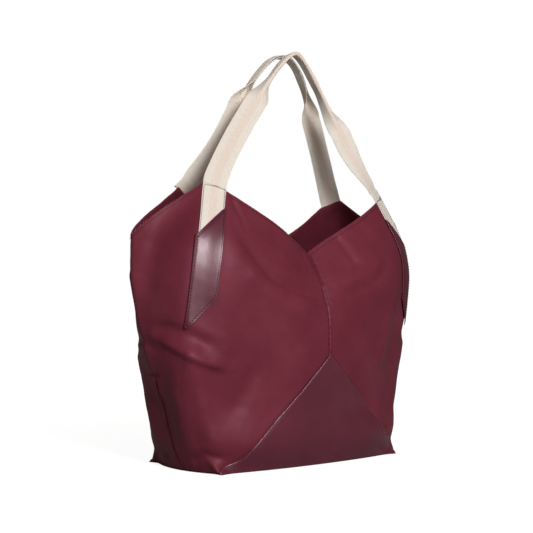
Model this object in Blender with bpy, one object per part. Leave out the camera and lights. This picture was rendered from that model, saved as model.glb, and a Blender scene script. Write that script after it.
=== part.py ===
"""Open-topped tote bag with a nylon body, a leather base and two webbing handles.

Metres, +Z up. The front faces -Y, the bag's long side runs along X, and the origin lies on the
floor under the middle of the base. The body is a loft: horizontal sections are drawn at shares
of the rim's height and joined by a smooth curve up each line of the wall.
"""

import math

import bmesh
import bpy
import numpy as np

# Overall sizes of the body
BODY_LENGTH = 0.608
BODY_DEPTH = 0.267
PEAK_HEIGHT = 0.4567
NOTCH_HEIGHT = 0.3536
SIDE_HEIGHT = 0.3747

# Rim: where the straps cross it, and how it bows between them
PEAK_X = 0.1793
PEAK_Y = 0.0546
NOTCH_Y = 0.0782
STRAP_FACING = math.radians(55.5)
CROSSING_RISE = math.radians(22.0)
NOTCH_RIM_BOW = 0.0113
PEAK_RIM_BOW = 0.0140
NOTCH_RIM_ARCH = 0.0061
PEAK_RIM_ARCH = 0.0014
SIDE_RIM_FLARE = 0.0104
SIDE_RIM_BOW = 0.0129
SIDE_RIM_ARCH = 0.0092

# Straps and tabs
STRAP_WIDTH = 0.038
STRAP_THICKNESS = 0.0016
TAB_WIDTH = 0.043
TAB_THICKNESS = 0.0014
TAB_TOP = 0.0665
TAB_LENGTH = 0.1535
TAB_SLANT = math.radians(55.0)

# Handles: foot on the rim, rise, top, and the grip where the webbing is folded in two
HANDLE_HEIGHT = 0.7080
HANDLE_LEAN = 0.0260
HANDLE_SPINE_Y = 0.0231
HANDLE_BEND_BACK = 0.0090
RISE_RUN_LEFT = 0.095
RISE_RUN_RIGHT = 0.080
RISE_ANGLE_LEFT = math.radians(59.0)
RISE_ANGLE_RIGHT = math.radians(75.0)
TOP_RUN_LEFT = 0.034
TOP_RUN_RIGHT = 0.038
GRIP_REACH = 0.076
GRIP_EASE = 0.042
FOLD_GAP = 0.0006
CROSSING_EASE = 0.040

# Base, panels and lining
BASE_PEAK = 0.184
EAR_REACH = 0.0102
WELT_REACH = 0.0012
NYLON_THICKNESS = 0.0010
LEATHER_THICKNESS = 0.0020
LEATHER_PROUD = 0.0006
BOARD_THICKNESS = 0.0020
BOARD_INSET = 0.0035
LINING_THICKNESS = 0.0006
LINING_SETBACK = 0.0017
LINING_FLOOR_INSET = 0.0020
HEM_WIDTH = 0.012
SEAM_GAP = 0.0003
SEWN_GAP = 0.0006

# Shares of the way round a quarter of the body, from the front's middle to the side's middle
CORNER_SHARE = 0.60
STRAP_IN_SHARE = 0.54
STRAP_OUT_SHARE = 0.66
EAR_SPREAD_SHARE = 0.035
CURVE_PULL_SHARE = 0.36
STEP_SHARE = 0.001

# One row for each section: share of the rim's height, then shares of the half depth and half length.
# level, front depth, corner length, corner depth, side length
SECTION_SHARES = (
    (0.00, 0.783, 0.625, 0.670, 0.702),
    (0.08, 0.862, 0.701, 0.494, 0.738),
    (0.25, 0.930, 0.768, 0.446, 0.793),
    (0.50, 1.000, 0.752, 0.584, 0.906),
    (0.78, 0.944, 0.706, 0.648, 0.987),
)
# The section's slope at its corner, and how far its side is pointed, for each row but the first
CORNER_SLOPES = tuple(math.radians(angle) for angle in (52.0, 31.0, 26.0, 33.0))
SIDE_POINTS = tuple(math.radians(angle) for angle in (0.0, 0.0, 1.5, 32.0))

# Mesh counts
FRONT_COLUMNS = 8
STRAP_COLUMNS = 4
SIDE_COLUMNS = 7
TRIANGLE_ROWS = 7
PANEL_ROWS = 13
BARE_STRAP_ROWS = 5
TAB_ROWS = 12
HANDLE_RINGS = 22

# Colour, roughness and metallic value of each material
NYLON = ("nylon", (0.150, 0.030, 0.048), 0.46, 0.0)
LEATHER = ("leather", (0.110, 0.020, 0.034), 0.38, 0.0)
WEBBING = ("webbing", (0.800, 0.730, 0.640), 0.85, 0.0)
LINING = ("lining", (0.110, 0.020, 0.034), 0.60, 0.0)
BOARD = ("board", (0.060, 0.055, 0.050), 0.80, 0.0)


def unit(vectors):
    """The vectors scaled to length one."""
    return vectors / np.linalg.norm(vectors, axis=-1, keepdims=True)


def bezier(start, pull_start, pull_end, end, along):
    """Cubic Bezier curve at shares of its way along."""
    s = np.asarray(along, float)[..., None]
    return (1 - s) ** 3 * start + 3 * (1 - s) ** 2 * s * pull_start + 3 * (1 - s) * s**2 * pull_end + s**3 * end


def smooth_step(low, high, value):
    """0 below low, 1 above high, and an even S-curve between them."""
    s = np.clip((value - low) / (high - low), 0, 1)
    return s * s * (3 - 2 * s)


def way_out(facing):
    """Level direction that faces out of the front right quarter, at an angle from the side towards the front."""
    return np.array([math.cos(facing), -math.sin(facing), 0])


def crossing():
    """Middle of the strap's crossing of the rim, and half of it as a vector from notch side to outer side."""
    middle = np.array([PEAK_X, -PEAK_Y, PEAK_HEIGHT])
    flat = math.cos(CROSSING_RISE)
    along = np.array([flat * math.sin(STRAP_FACING), flat * math.cos(STRAP_FACING), math.sin(CROSSING_RISE)])
    return middle, along * STRAP_WIDTH / 2


def slide_to_cut(points, direction, lift):
    """Moves points along a direction onto the plane, lifted a little, in which sewn strap and handle meet."""
    middle, half = crossing()
    up = unit(np.cross(way_out(STRAP_FACING), half))
    return points + direction * (((middle - points) @ up + lift) / (direction @ up))[..., None]


def rim_curve(share):
    """Rim of the front right quarter: bowed from the notch to the strap, straight under it, bowed to the side."""
    middle, half = crossing()
    notch = np.array([0, -NOTCH_Y, NOTCH_HEIGHT])
    inner, outer = middle - half, middle + half
    tip = np.array([BODY_LENGTH / 2, 0, SIDE_HEIGHT])
    notch_pull = notch + (inner - notch) / 3 + np.array([0, -NOTCH_RIM_BOW, NOTCH_RIM_ARCH])
    inner_pull = notch + (inner - notch) * 2 / 3 + np.array([0, -PEAK_RIM_BOW, PEAK_RIM_ARCH])
    outer_pull = outer + (tip - outer) / 3
    tip_pull = outer + (tip - outer) * 2 / 3 + np.array([SIDE_RIM_FLARE, -SIDE_RIM_BOW, SIDE_RIM_ARCH])
    front = bezier(notch, notch_pull, inner_pull, inner, np.clip(share / STRAP_IN_SHARE, 0, 1))
    across = (share - STRAP_IN_SHARE) / (STRAP_OUT_SHARE - STRAP_IN_SHARE)
    under = inner + (outer - inner) * np.clip(across, 0, 1)[..., None]
    side_share = np.clip((share - STRAP_OUT_SHARE) / (1 - STRAP_OUT_SHARE), 0, 1)
    side = bezier(outer, outer_pull, tip_pull, tip, side_share)
    picked = np.where((share <= STRAP_IN_SHARE)[..., None], front, under)
    return np.where((share > STRAP_OUT_SHARE)[..., None], side, picked)


def base_section(row, share):
    """Lowest section: a rectangle whose long and short edges bow outwards a little."""
    _, front_depth, corner_length, corner_depth, side_length = row
    front = front_depth * BODY_DEPTH / 2
    corner = np.array([corner_length * BODY_LENGTH, -corner_depth * BODY_DEPTH]) / 2
    reach = side_length * BODY_LENGTH / 2
    u = np.clip(share / CORNER_SHARE, 0, 1)
    w = np.clip((share - CORNER_SHARE) / (1 - CORNER_SHARE), 0, 1)
    along_front = np.stack([corner[0] * u, corner[1] - (front + corner[1]) * (1 - u**2)], -1)
    along_side = np.stack([corner[0] + (reach - corner[0]) * (1 - (1 - w) ** 2), corner[1] * (1 - w)], -1)
    return np.where((share <= CORNER_SHARE)[..., None], along_front, along_side)


def wall_section(row, slope, point, share):
    """A higher section: one curve from the front's middle to the corner, and one on to the side's middle."""
    _, front_depth, corner_length, corner_depth, side_length = row
    front = np.array([0, -front_depth * BODY_DEPTH / 2])
    corner = np.array([corner_length * BODY_LENGTH, -corner_depth * BODY_DEPTH]) / 2
    side = np.array([side_length * BODY_LENGTH / 2, 0])
    heading = np.array([math.cos(slope), math.sin(slope)])
    arrival = np.array([math.sin(point), math.cos(point)])
    front_pull = CURVE_PULL_SHARE * np.linalg.norm(corner - front)
    side_pull = CURVE_PULL_SHARE * np.linalg.norm(side - corner)
    to_corner = bezier(
        front,
        front + np.array([front_pull, 0]),
        corner - heading * front_pull,
        corner,
        np.clip(share / CORNER_SHARE, 0, 1),
    )
    to_side = bezier(
        corner,
        corner + heading * side_pull,
        side - arrival * side_pull,
        side,
        np.clip((share - CORNER_SHARE) / (1 - CORNER_SHARE), 0, 1),
    )
    return np.where((share <= CORNER_SHARE)[..., None], to_corner, to_side)


def through_levels(levels, values, level):
    """Smooth curve through the values at the levels, with each slope taken from its two neighbours."""
    gaps = np.diff(levels)
    rises = np.diff(values, axis=0) / gaps[:, None, None]
    slopes = np.concatenate([rises[:1], rises, rises[-1:]])
    weights = np.concatenate([gaps[:1], gaps, gaps[-1:]])
    slopes = (slopes[:-1] * weights[1:, None, None] + slopes[1:] * weights[:-1, None, None]) / (
        weights[1:] + weights[:-1]
    )[:, None, None]
    cell = np.clip(np.searchsorted(levels, level, side="right") - 1, 0, len(gaps) - 1)
    width = gaps[cell][:, None]
    s = ((level - levels[cell]) / gaps[cell])[:, None]
    item = np.arange(len(level))
    low, high = values[cell, item], values[cell + 1, item]
    low_slope, high_slope = slopes[cell, item], slopes[cell + 1, item]
    return (
        (2 * s**3 - 3 * s**2 + 1) * low
        + (s**3 - 2 * s**2 + s) * width * low_slope
        + (3 * s**2 - 2 * s**3) * high
        + (s**3 - s**2) * width * high_slope
    )


def quarter_wall(share, level):
    """Points of the front right quarter's wall at shares of the way round it and of the rim's height."""
    rim = rim_curve(share)
    sections = [base_section(SECTION_SHARES[0], share)]
    for row, slope, point in zip(SECTION_SHARES[1:], CORNER_SLOPES, SIDE_POINTS):
        sections.append(wall_section(row, slope, point, share))
    sections.append(rim[:, :2])
    levels = np.array([row[0] for row in SECTION_SHARES] + [1.0])
    flat = through_levels(levels, np.array(sections), level)
    return np.column_stack([flat, level * rim[:, 2]])


def wall(turn, level):
    """Points of the whole wall. turn is 0 at the front's middle, 1 or -1 at a side's, 2 or -2 at the back's."""
    turn, level = np.broadcast_arrays(np.asarray(turn, float), np.asarray(level, float))
    turn = np.where(turn > 2, turn - 4, np.where(turn < -2, turn + 4, turn))
    reach = np.abs(turn.ravel())
    points = quarter_wall(1 - np.abs(1 - reach), level.ravel())
    points[:, 0] *= np.where(turn.ravel() < 0, -1, 1)
    points[:, 1] *= np.where(reach > 1, -1, 1)
    return points.reshape(turn.shape + (3,))


def wall_slopes(turn, level):
    """How the wall's points move with turn and with level."""
    low = np.clip(level - STEP_SHARE, 0, 1)
    high = np.clip(level + STEP_SHARE, 0, 1)
    by_turn = (wall(turn + STEP_SHARE, level) - wall(turn - STEP_SHARE, level)) / (2 * STEP_SHARE)
    return by_turn, (wall(turn, high) - wall(turn, low)) / (high - low)[..., None]


def shifted_wall(turn, level, distance):
    """The wall moved out along its normal by the distance."""
    by_turn, by_level = wall_slopes(turn, level)
    return wall(turn, level) + distance * unit(np.cross(by_turn, by_level))


def rim_height(turn):
    """Height of the rim at each turn."""
    return wall(turn, 1.0)[..., 2]


def triangle_level(turn, lift):
    """Level of the leather triangle's edge, straight from base corner to peak when seen from the front."""
    share = 1 - np.abs(1 - np.abs(turn))
    corner = SECTION_SHARES[0][2] * BODY_LENGTH / 2
    top = rim_height(turn)
    low = np.zeros_like(top)
    high = np.ones_like(top)
    for _ in range(30):
        middle = (low + high) / 2
        across = np.abs(wall(turn, middle)[..., 0])
        above = middle * top > BASE_PEAK * (1 - across / corner) + lift
        high = np.where(above, middle, high)
        low = np.where(above, low, middle)
    return np.where(share < CORNER_SHARE, high, 0)


def quarter_columns():
    """Shares of the columns round a quarter, with the strap's crossing on columns of its own."""
    front = np.linspace(0, STRAP_IN_SHARE, FRONT_COLUMNS + 1)
    under = np.linspace(STRAP_IN_SHARE, STRAP_OUT_SHARE, STRAP_COLUMNS + 1)[1:]
    side = np.linspace(STRAP_OUT_SHARE, 1, SIDE_COLUMNS + 1)[1:]
    return np.concatenate([front, under, side])


def half_columns():
    """Turns of the columns from the front's middle round the right side to the back's middle."""
    quarter = quarter_columns()
    return np.concatenate([quarter, 2 - quarter[-2::-1]])


def board_top():
    """Height of the stiffening board's upper face."""
    return LEATHER_THICKNESS + SEAM_GAP + BOARD_THICKNESS


def lining_foot():
    """Height at which the lining's walls start, just above the lining's floor."""
    return board_top() + SEAM_GAP + LINING_THICKNESS + SEAM_GAP


def rows_between(low, high, count):
    """Levels of rows from low to high, for every column."""
    return low[:, None] + (high - low)[:, None] * np.linspace(0, 1, count + 1)


def wall_rows(turns, lift=0.0):
    """Levels of the rows up the triangle and up the panel, shared by every sheet so that their facets match."""
    top = rim_height(turns)
    foot = lining_foot() / top
    edge = np.maximum(triangle_level(turns, lift), foot)
    hem = 1 - HEM_WIDTH / top
    return rows_between(foot, edge, TRIANGLE_ROWS), rows_between(edge, hem, PANEL_ROWS)


def new_object(name, mesh, material):
    """Links a mesh into the scene as an object with a material of its own."""
    obj = bpy.data.objects.new(name, mesh)
    bpy.context.scene.collection.objects.link(obj)
    title, colour, roughness, metallic = material
    finish = bpy.data.materials.new(f"{name}_{title}")
    finish.use_nodes = True
    shader = finish.node_tree.nodes["Principled BSDF"]
    shader.inputs["Base Color"].default_value = (*colour, 1)
    shader.inputs["Roughness"].default_value = roughness
    shader.inputs["Metallic"].default_value = metallic
    mesh.materials.append(finish)
    return obj


def slab(name, outer, inner, material, mirrored=False):
    """Closed sheet between two grids of points. mirrored, one value for each column, turns its diagonals over."""
    columns, rows = outer.shape[:2]
    points = np.concatenate([outer.reshape(-1, 3), inner.reshape(-1, 3)])
    index = np.arange(columns * rows).reshape(columns, rows)
    shift = columns * rows
    faces = []
    for grid, forward in ((index, True), (index + shift, False)):
        a, b, c, d = grid[:-1, :-1], grid[1:, :-1], grid[1:, 1:], grid[:-1, 1:]
        plain = np.stack([a, b, c, a, c, d], -1)
        turned = np.stack([a, b, d, b, c, d], -1)
        over = np.broadcast_to(mirrored, len(a))[:, None, None]
        halves = np.where(over, turned, plain).reshape(-1, 3)
        faces.append(halves if forward else halves[:, ::-1])
    border = np.concatenate([index[:, 0], index[-1, 1:], index[-2::-1, -1], index[0, -2:0:-1]])
    following = np.roll(border, -1)
    faces.append(np.stack([following, border, border + shift], -1))
    faces.append(np.stack([following, border + shift, following + shift], -1))
    mesh = bpy.data.meshes.new(name)
    mesh.from_pydata(points.tolist(), [], np.concatenate(faces).tolist())
    work = bmesh.new()
    work.from_mesh(mesh)
    bmesh.ops.remove_doubles(work, verts=work.verts, dist=SEAM_GAP / 10)
    bmesh.ops.recalc_face_normals(work, faces=work.faces)
    work.to_mesh(mesh)
    work.free()
    smooth(mesh)
    return new_object(name, mesh, material)


def smooth(mesh):
    """Shades a mesh smooth, with sharp edges where it turns hard."""
    mesh.shade_smooth()
    mesh.set_sharp_from_angle(angle=math.radians(40))


def panel_grid(turns, levels, distance, low_height):
    """Points of the shifted wall at the rows of each column, none of them under the low height."""
    grid = shifted_wall(np.broadcast_to(turns[:, None], levels.shape), levels, distance)
    grid[..., 2] = np.maximum(grid[..., 2], low_height)
    return grid


def two_halves(names, levels, turns, distances, low_height, material):
    """Right and left halves of a wall sheet, half a seam gap away from the middle plane."""
    grids = [panel_grid(turns, levels, distance, low_height) for distance in distances]
    for grid in grids:
        grid[..., 0] = np.maximum(grid[..., 0], SEAM_GAP / 2)
    for name, side in zip(names, (1, -1)):
        mirror = np.array([side, 1, 1])
        slab(name, grids[0] * mirror, grids[1] * mirror, material)


def body_panels():
    """Nylon halves: each runs from the front seam round a side to the back seam, above the leather triangles."""
    turns = half_columns()
    slope = math.hypot(1, BASE_PEAK / (SECTION_SHARES[0][2] * BODY_LENGTH / 2))
    _, rows = wall_rows(turns, SEAM_GAP * slope)
    low_height = LEATHER_THICKNESS + SEAM_GAP
    foot = np.maximum(triangle_level(turns, SEAM_GAP * slope), low_height / rim_height(turns))
    rim = np.ones_like(foot)
    levels = np.column_stack([foot, rows, rim])
    two_halves(
        ("right_body_panel", "left_body_panel"),
        levels,
        turns,
        (0, -NYLON_THICKNESS),
        low_height,
        NYLON,
    )


def lining_panels():
    """Lining halves, from the lining's floor up to the hem."""
    turns = half_columns()
    behind_triangle, behind_panel = wall_rows(turns)
    levels = np.column_stack([behind_triangle, behind_panel[:, 1:]])
    two_halves(
        ("right_lining", "left_lining"),
        levels,
        turns,
        (-LINING_SETBACK, -LINING_SETBACK - LINING_THICKNESS),
        lining_foot(),
        LINING,
    )


def base_outline(height, outset, ear_reach):
    """Outline of the wall at a height, moved out by the outset, with its corners drawn out into ears."""
    half = half_columns()
    turns = np.concatenate([half[:-1], half[:-1] - 2])
    ring = wall(turns, height / rim_height(turns))[:, :2]
    ahead = unit(np.roll(ring, -1, 0) - ring)
    behind = np.roll(ahead, 1, 0)
    outward = unit(np.stack([(ahead + behind)[:, 1], -(ahead + behind)[:, 0]], -1))
    share = 1 - np.abs(1 - np.abs(turns))
    spread = np.exp(-(((share - CORNER_SHARE) / EAR_SPREAD_SHARE) ** 2))
    return ring + outset * outward + (ear_reach * spread)[:, None] * unit(np.sign(ring))


def flat_plate(name, outline, low, high, material):
    """A flat sheet cut to the outline and standing between two heights."""
    work = bmesh.new()
    corners = [work.verts.new((x, y, low)) for x, y in outline]
    face = work.faces.new(corners)
    raised = bmesh.ops.extrude_face_region(work, geom=[face])
    lifted = [item for item in raised["geom"] if isinstance(item, bmesh.types.BMVert)]
    bmesh.ops.translate(work, verts=lifted, vec=(0, 0, high - low))
    bmesh.ops.recalc_face_normals(work, faces=work.faces)
    mesh = bpy.data.meshes.new(name)
    work.to_mesh(mesh)
    work.free()
    return new_object(name, mesh, material)


def join(target, others):
    """Joins other solids to the target with Boolean unions, and removes them."""
    for other in others:
        union = target.modifiers.new("join", "BOOLEAN")
        union.operation = "UNION"
        union.solver = "EXACT"
        union.object = other
    graph = bpy.context.evaluated_depsgraph_get()
    joined = bpy.data.meshes.new_from_object(target.evaluated_get(graph))
    target.modifiers.clear()
    target.data = joined
    for other in others:
        bpy.data.objects.remove(other)


def leather_triangle(name, middle_turn):
    """The base's upright triangle on the front (middle turn 0) or the back (middle turn 2)."""
    quarter = quarter_columns()
    reach = quarter[quarter <= CORNER_SHARE + STEP_SHARE]
    turns = middle_turn + np.concatenate([-reach[:0:-1], reach])
    turns = np.where(turns > 2, turns - 4, turns)
    top = rim_height(turns)
    start = LEATHER_THICKNESS / 2 / top
    edge = np.maximum(triangle_level(turns, 0), start)
    foot = np.minimum(lining_foot() / top, edge)
    levels = np.column_stack([start, rows_between(foot, edge, TRIANGLE_ROWS)])
    grids = [panel_grid(turns, levels, depth, 0) for depth in (LEATHER_PROUD, LEATHER_PROUD - LEATHER_THICKNESS)]
    return slab(name, grids[0], grids[1], LEATHER, np.diff(np.abs(turns)) < 0)


def leather_base():
    """Bottom sheet with its four pointed ears, and the two triangles that rise from its long edges."""
    base = flat_plate("leather_base", base_outline(0, WELT_REACH, EAR_REACH), 0, LEATHER_THICKNESS, LEATHER)
    join(base, [leather_triangle("front_triangle", 0), leather_triangle("back_triangle", 2)])
    smooth(base.data)


def down_the_corner(distance):
    """Level on the corner line at each distance down from the rim."""
    level = np.linspace(1, 0, 401)
    line = wall(CORNER_SHARE, level)
    travelled = np.concatenate([[0], np.cumsum(np.linalg.norm(np.diff(line, axis=0), axis=1))])
    return np.interp(distance, travelled, level)


def on_strap(across_reach, down_reach):
    """Turn and level of the points at a distance across the strap and down the wall from its crossing."""
    level = down_the_corner(down_reach)
    turn = np.full_like(level, CORNER_SHARE)
    middle = wall(turn, level)
    by_turn, by_level = wall_slopes(turn, level)
    down = -unit(by_level)
    across = unit(by_turn - down * np.sum(by_turn * down, -1, keepdims=True))
    # Newton steps to the wall's point that lies straight across from the corner line
    for _ in range(6):
        by_turn, by_level = wall_slopes(turn, level)
        offset = wall(turn, level) - middle
        miss_across = across_reach - np.sum(offset * across, -1)
        miss_down = np.minimum(down_reach, 0) - np.sum(offset * down, -1)
        a, b = np.sum(by_turn * across, -1), np.sum(by_level * across, -1)
        c, d = np.sum(by_turn * down, -1), np.sum(by_level * down, -1)
        size = a * d - b * c
        turn = turn + (d * miss_across - b * miss_down) / size
        level = np.clip(level + (a * miss_down - c * miss_across) / size, 0, 1)
    return turn, level


def strap_grid(across, down, distance, mirror, on_rim):
    """Points over a strap piece, moved out from the wall. The upper row can be cut to meet the handle."""
    turn, level = on_strap(np.broadcast_to(across[:, None], down.shape), down)
    points = shifted_wall(turn, level, distance)
    if on_rim:
        points[:, 0] = slide_to_cut(points[:, 0], unit(points[:, 1] - points[:, 0]), -SEAM_GAP / 2)
    return points * np.array([mirror[0], mirror[1], 1])


def strap_pieces(place, mirror):
    """Sewn strap end and the leather tab over it, at one of the four corners."""
    strap_across = np.linspace(-STRAP_WIDTH / 2, STRAP_WIDTH / 2, STRAP_COLUMNS + 1)
    tab_across = np.concatenate([[-TAB_WIDTH / 2], strap_across, [TAB_WIDTH / 2]])
    tab_share = np.linspace(0, 1, TAB_ROWS + 1)
    tab_top = TAB_TOP + tab_across * math.tan(TAB_SLANT)
    tab_down = tab_top[:, None] + TAB_LENGTH * tab_share
    _, half = crossing()
    down = -unit(wall_slopes(np.array([CORNER_SHARE]), np.array([1.0]))[1][0])
    rise = half @ down / np.linalg.norm(half - down * (half @ down))
    bare_share = np.linspace(0, 1, BARE_STRAP_ROWS + 1)[:-1]
    rim_down = strap_across * rise
    bare_down = rim_down[:, None] + (tab_top[1:-1] - rim_down)[:, None] * bare_share
    strap_down = np.concatenate([bare_down, tab_down[1:-1, :-1]], axis=1)
    outside = SEWN_GAP + STRAP_THICKNESS
    slab(
        f"{place}_strap_end",
        strap_grid(strap_across, strap_down, outside, mirror, True),
        strap_grid(strap_across, strap_down, SEWN_GAP, mirror, True),
        WEBBING,
    )
    tab_face = outside + SEAM_GAP
    slab(
        f"{place}_leather_tab",
        strap_grid(tab_across, tab_down, tab_face + TAB_THICKNESS, mirror, False),
        strap_grid(tab_across, tab_down, tab_face, mirror, False),
        LEATHER,
    )


def handle_line():
    """Middle line of the front handle's webbing, from the left crossing over the top to the right one."""
    middle, _ = crossing()
    start = middle + way_out(STRAP_FACING) * (SEWN_GAP + STRAP_THICKNESS / 2)
    top = np.array([HANDLE_LEAN, -HANDLE_SPINE_Y, HANDLE_HEIGHT])
    share = np.linspace(0, 1, HANDLE_RINGS + 1)
    branches = []
    for side, run, angle, top_run in (
        (-1, RISE_RUN_LEFT, RISE_ANGLE_LEFT, TOP_RUN_LEFT),
        (1, RISE_RUN_RIGHT, RISE_ANGLE_RIGHT, TOP_RUN_RIGHT),
    ):
        foot = start * np.array([side, 1, 1])
        rise = np.array([-side * math.cos(angle) * run, HANDLE_BEND_BACK, math.sin(angle) * run])
        branches.append(bezier(foot, foot + rise, top + np.array([side * top_run, 0, 0]), top, share))
    return np.concatenate([branches[0], branches[1][-2::-1]])


def fold_profile(fold):
    """The webbing's cross-section at each fold angle: places across and inwards, and directions out of its face."""
    radius = (STRAP_THICKNESS + FOLD_GAP) / 2
    bend = radius * math.pi / 2
    edge = STRAP_WIDTH / 2
    reach = np.array([-edge, -edge / 2, -bend, -bend / 2, 0, bend / 2, bend, edge / 2, edge])
    fold = np.maximum(fold, STEP_SHARE)
    heading = fold[:, None] * np.clip(reach / bend, -1, 1)
    curve = bend / fold[:, None]
    beyond = np.maximum(np.abs(reach) - bend, 0)
    across = curve * np.sin(heading) + np.sign(reach) * beyond * np.cos(heading)
    inwards = curve * (1 - np.cos(heading)) + beyond * np.sin(np.abs(heading))
    return across, inwards, np.sin(heading), -np.cos(heading)


def cut_foot(points, rings, from_foot, side):
    """Cuts a handle's foot on the plane where it meets the sewn strap, easing the cut's slant out up the handle."""
    mirror = np.array([side, 1, 1])
    ease = 1 - smooth_step(0, CROSSING_EASE, from_foot[rings])
    first = points[rings[0]] * mirror
    direction = unit(points[rings[1]] * mirror - first)
    shift = (slide_to_cut(first, direction, SEAM_GAP / 2) - first) * mirror
    points[rings] += ease[:, None, None] * shift


def handle_grids():
    """Outer and inner grids of the front handle: flat webbing at its feet, folded in two along the grip."""
    line = handle_line()
    steps = np.linalg.norm(np.diff(line, axis=0), axis=1)
    travelled = np.concatenate([[0], np.cumsum(steps)])
    tangent = unit(np.gradient(line, travelled, axis=0))
    to_top = np.abs(travelled - travelled[HANDLE_RINGS])
    from_foot = np.minimum(travelled, travelled[-1] - travelled)
    facing = STRAP_FACING + (math.pi / 2 - STRAP_FACING) * smooth_step(0, GRIP_REACH, from_foot)
    side = np.where(np.arange(len(line)) < HANDLE_RINGS, -1, 1)
    outward = np.stack([side * np.cos(facing), -np.sin(facing), np.zeros_like(facing)], -1)
    outward = unit(outward - tangent * np.sum(outward * tangent, -1, keepdims=True))
    across = np.cross(tangent, outward)
    fold = math.pi / 2 * (1 - smooth_step(GRIP_REACH, GRIP_REACH + GRIP_EASE, to_top))
    over, inwards, over_out, inwards_out = fold_profile(fold)
    middle = line[:, None] + across[:, None] * over[..., None] - outward[:, None] * inwards[..., None]
    thick = across[:, None] * over_out[..., None] - outward[:, None] * inwards_out[..., None]
    grids = []
    for offset in (STRAP_THICKNESS / 2, -STRAP_THICKNESS / 2):
        points = middle + thick * offset
        rings = np.arange(HANDLE_RINGS)
        cut_foot(points, rings, from_foot, -1)
        cut_foot(points, len(line) - 1 - rings, from_foot, 1)
        grids.append(points)
    return grids


def handle(name, grids, facing):
    """A handle on an empty that lies on its swing axis. facing is 1 for the front, -1 for the back."""
    ends = np.concatenate([grid[ring] for grid in grids for ring in (0, -1)])
    axis = np.array([0, ends[:, 1].min() * facing, ends[:, 2].min()])
    pivot = bpy.data.objects.new(f"{name}_axis", None)
    pivot.location = axis
    bpy.context.scene.collection.objects.link(pivot)
    mirror = np.array([1, facing, 1])
    obj = slab(name, grids[0] * mirror - axis, grids[1] * mirror - axis, WEBBING)
    obj.parent = pivot


def main():
    for obj in list(bpy.data.objects):
        bpy.data.objects.remove(obj)
    leather_base()
    low = LEATHER_THICKNESS + SEAM_GAP
    flat_plate("base_board", base_outline(low, -BOARD_INSET, 0), low, board_top(), BOARD)
    low = board_top() + SEAM_GAP
    outline = base_outline(low, -LINING_FLOOR_INSET, 0)
    flat_plate("lining_floor", outline, low, low + LINING_THICKNESS, LINING)
    body_panels()
    lining_panels()
    places = {"front_right": (1, 1), "front_left": (-1, 1), "back_right": (1, -1), "back_left": (-1, -1)}
    for place, mirror in places.items():
        strap_pieces(place, mirror)
    grids = handle_grids()
    handle("front_handle", grids, 1)
    handle("back_handle", grids, -1)


main()
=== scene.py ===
"""Open-topped tote bag: satin nylon halves on a leather base, leather tabs and two webbing handles.

Metres, +Z up, front to -Y. A place on the body is a turn (0 the front's middle, 1 or -1 a side's, 2 or -2
the back's) and a level (0 the floor, 1 the rim). Every sewn piece is laid on the same folded skin, whose
folds are sculpted here: none of them is simulated.
"""

import math

import bpy
import numpy as np
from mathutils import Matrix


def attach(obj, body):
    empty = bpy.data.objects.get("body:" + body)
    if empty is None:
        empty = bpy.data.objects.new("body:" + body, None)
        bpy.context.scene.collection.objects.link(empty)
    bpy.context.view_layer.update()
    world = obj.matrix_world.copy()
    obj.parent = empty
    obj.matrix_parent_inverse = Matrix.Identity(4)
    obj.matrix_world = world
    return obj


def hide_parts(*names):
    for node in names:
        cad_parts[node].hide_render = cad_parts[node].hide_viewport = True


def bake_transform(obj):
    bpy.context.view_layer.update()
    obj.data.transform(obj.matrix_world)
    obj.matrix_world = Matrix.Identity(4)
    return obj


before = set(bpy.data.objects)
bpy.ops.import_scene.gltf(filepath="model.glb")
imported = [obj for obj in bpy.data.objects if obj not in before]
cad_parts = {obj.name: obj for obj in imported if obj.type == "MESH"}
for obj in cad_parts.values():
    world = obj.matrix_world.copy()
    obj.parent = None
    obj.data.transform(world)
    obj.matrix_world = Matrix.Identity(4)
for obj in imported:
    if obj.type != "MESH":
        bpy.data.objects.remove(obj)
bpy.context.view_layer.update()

# Body: overall sizes, and how far the rim bows between notch, strap and side
LENGTH, DEPTH = 0.608, 0.267
PEAK = np.array([0.1793, -0.0546, 0.4567])
NOTCH = np.array([0, -0.0782, 0.3536])
SIDE_HEIGHT = 0.3747
NOTCH_BOW = np.array([0, -0.0113, 0.0061])
STRAP_BOW = np.array([0, -0.0140, 0.0014])
SIDE_BOW = np.array([0.0104, -0.0129, 0.0092])
STRAP_FACING = math.radians(55.5)
CROSSING_RISE = math.radians(22.0)
# Level, then front depth, corner length, corner depth and side length as shares of the half sizes
SECTIONS = (
    (0.00, 0.783, 0.625, 0.670, 0.702),
    (0.08, 0.862, 0.701, 0.494, 0.738),
    (0.25, 0.930, 0.768, 0.446, 0.793),
    (0.50, 1.000, 0.752, 0.584, 0.906),
    (0.78, 0.944, 0.706, 0.648, 0.987),
)
# For each section above the floor: the outline's slope at the corner and its point at the side
CORNER_SLOPES = np.radians([52.0, 31.0, 26.0, 33.0])
SIDE_POINTS = np.radians([0.0, 0.0, 1.5, 32.0])
SECTION_PULL = 0.36
# Shares of a quarter: the corner line, which is the strap's middle, and the strap's two edges
CORNER, STRAP_IN, STRAP_OUT = 0.60, 0.54, 0.66
# Distance round the body for one share, before and after the corner, and all the way round
FRONT_RUN, SIDE_RUN = 0.392, 0.228
AROUND = 4 * (FRONT_RUN * CORNER + SIDE_RUN * (1 - CORNER))
# Small step for differences, and how finely curves are tabulated
STEP = 0.001
TURN_SAMPLES, SHARE_SAMPLES, LEVEL_SAMPLES = 801, 1201, 401
HALVINGS, NEWTON_STEPS = 30, 6
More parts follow.
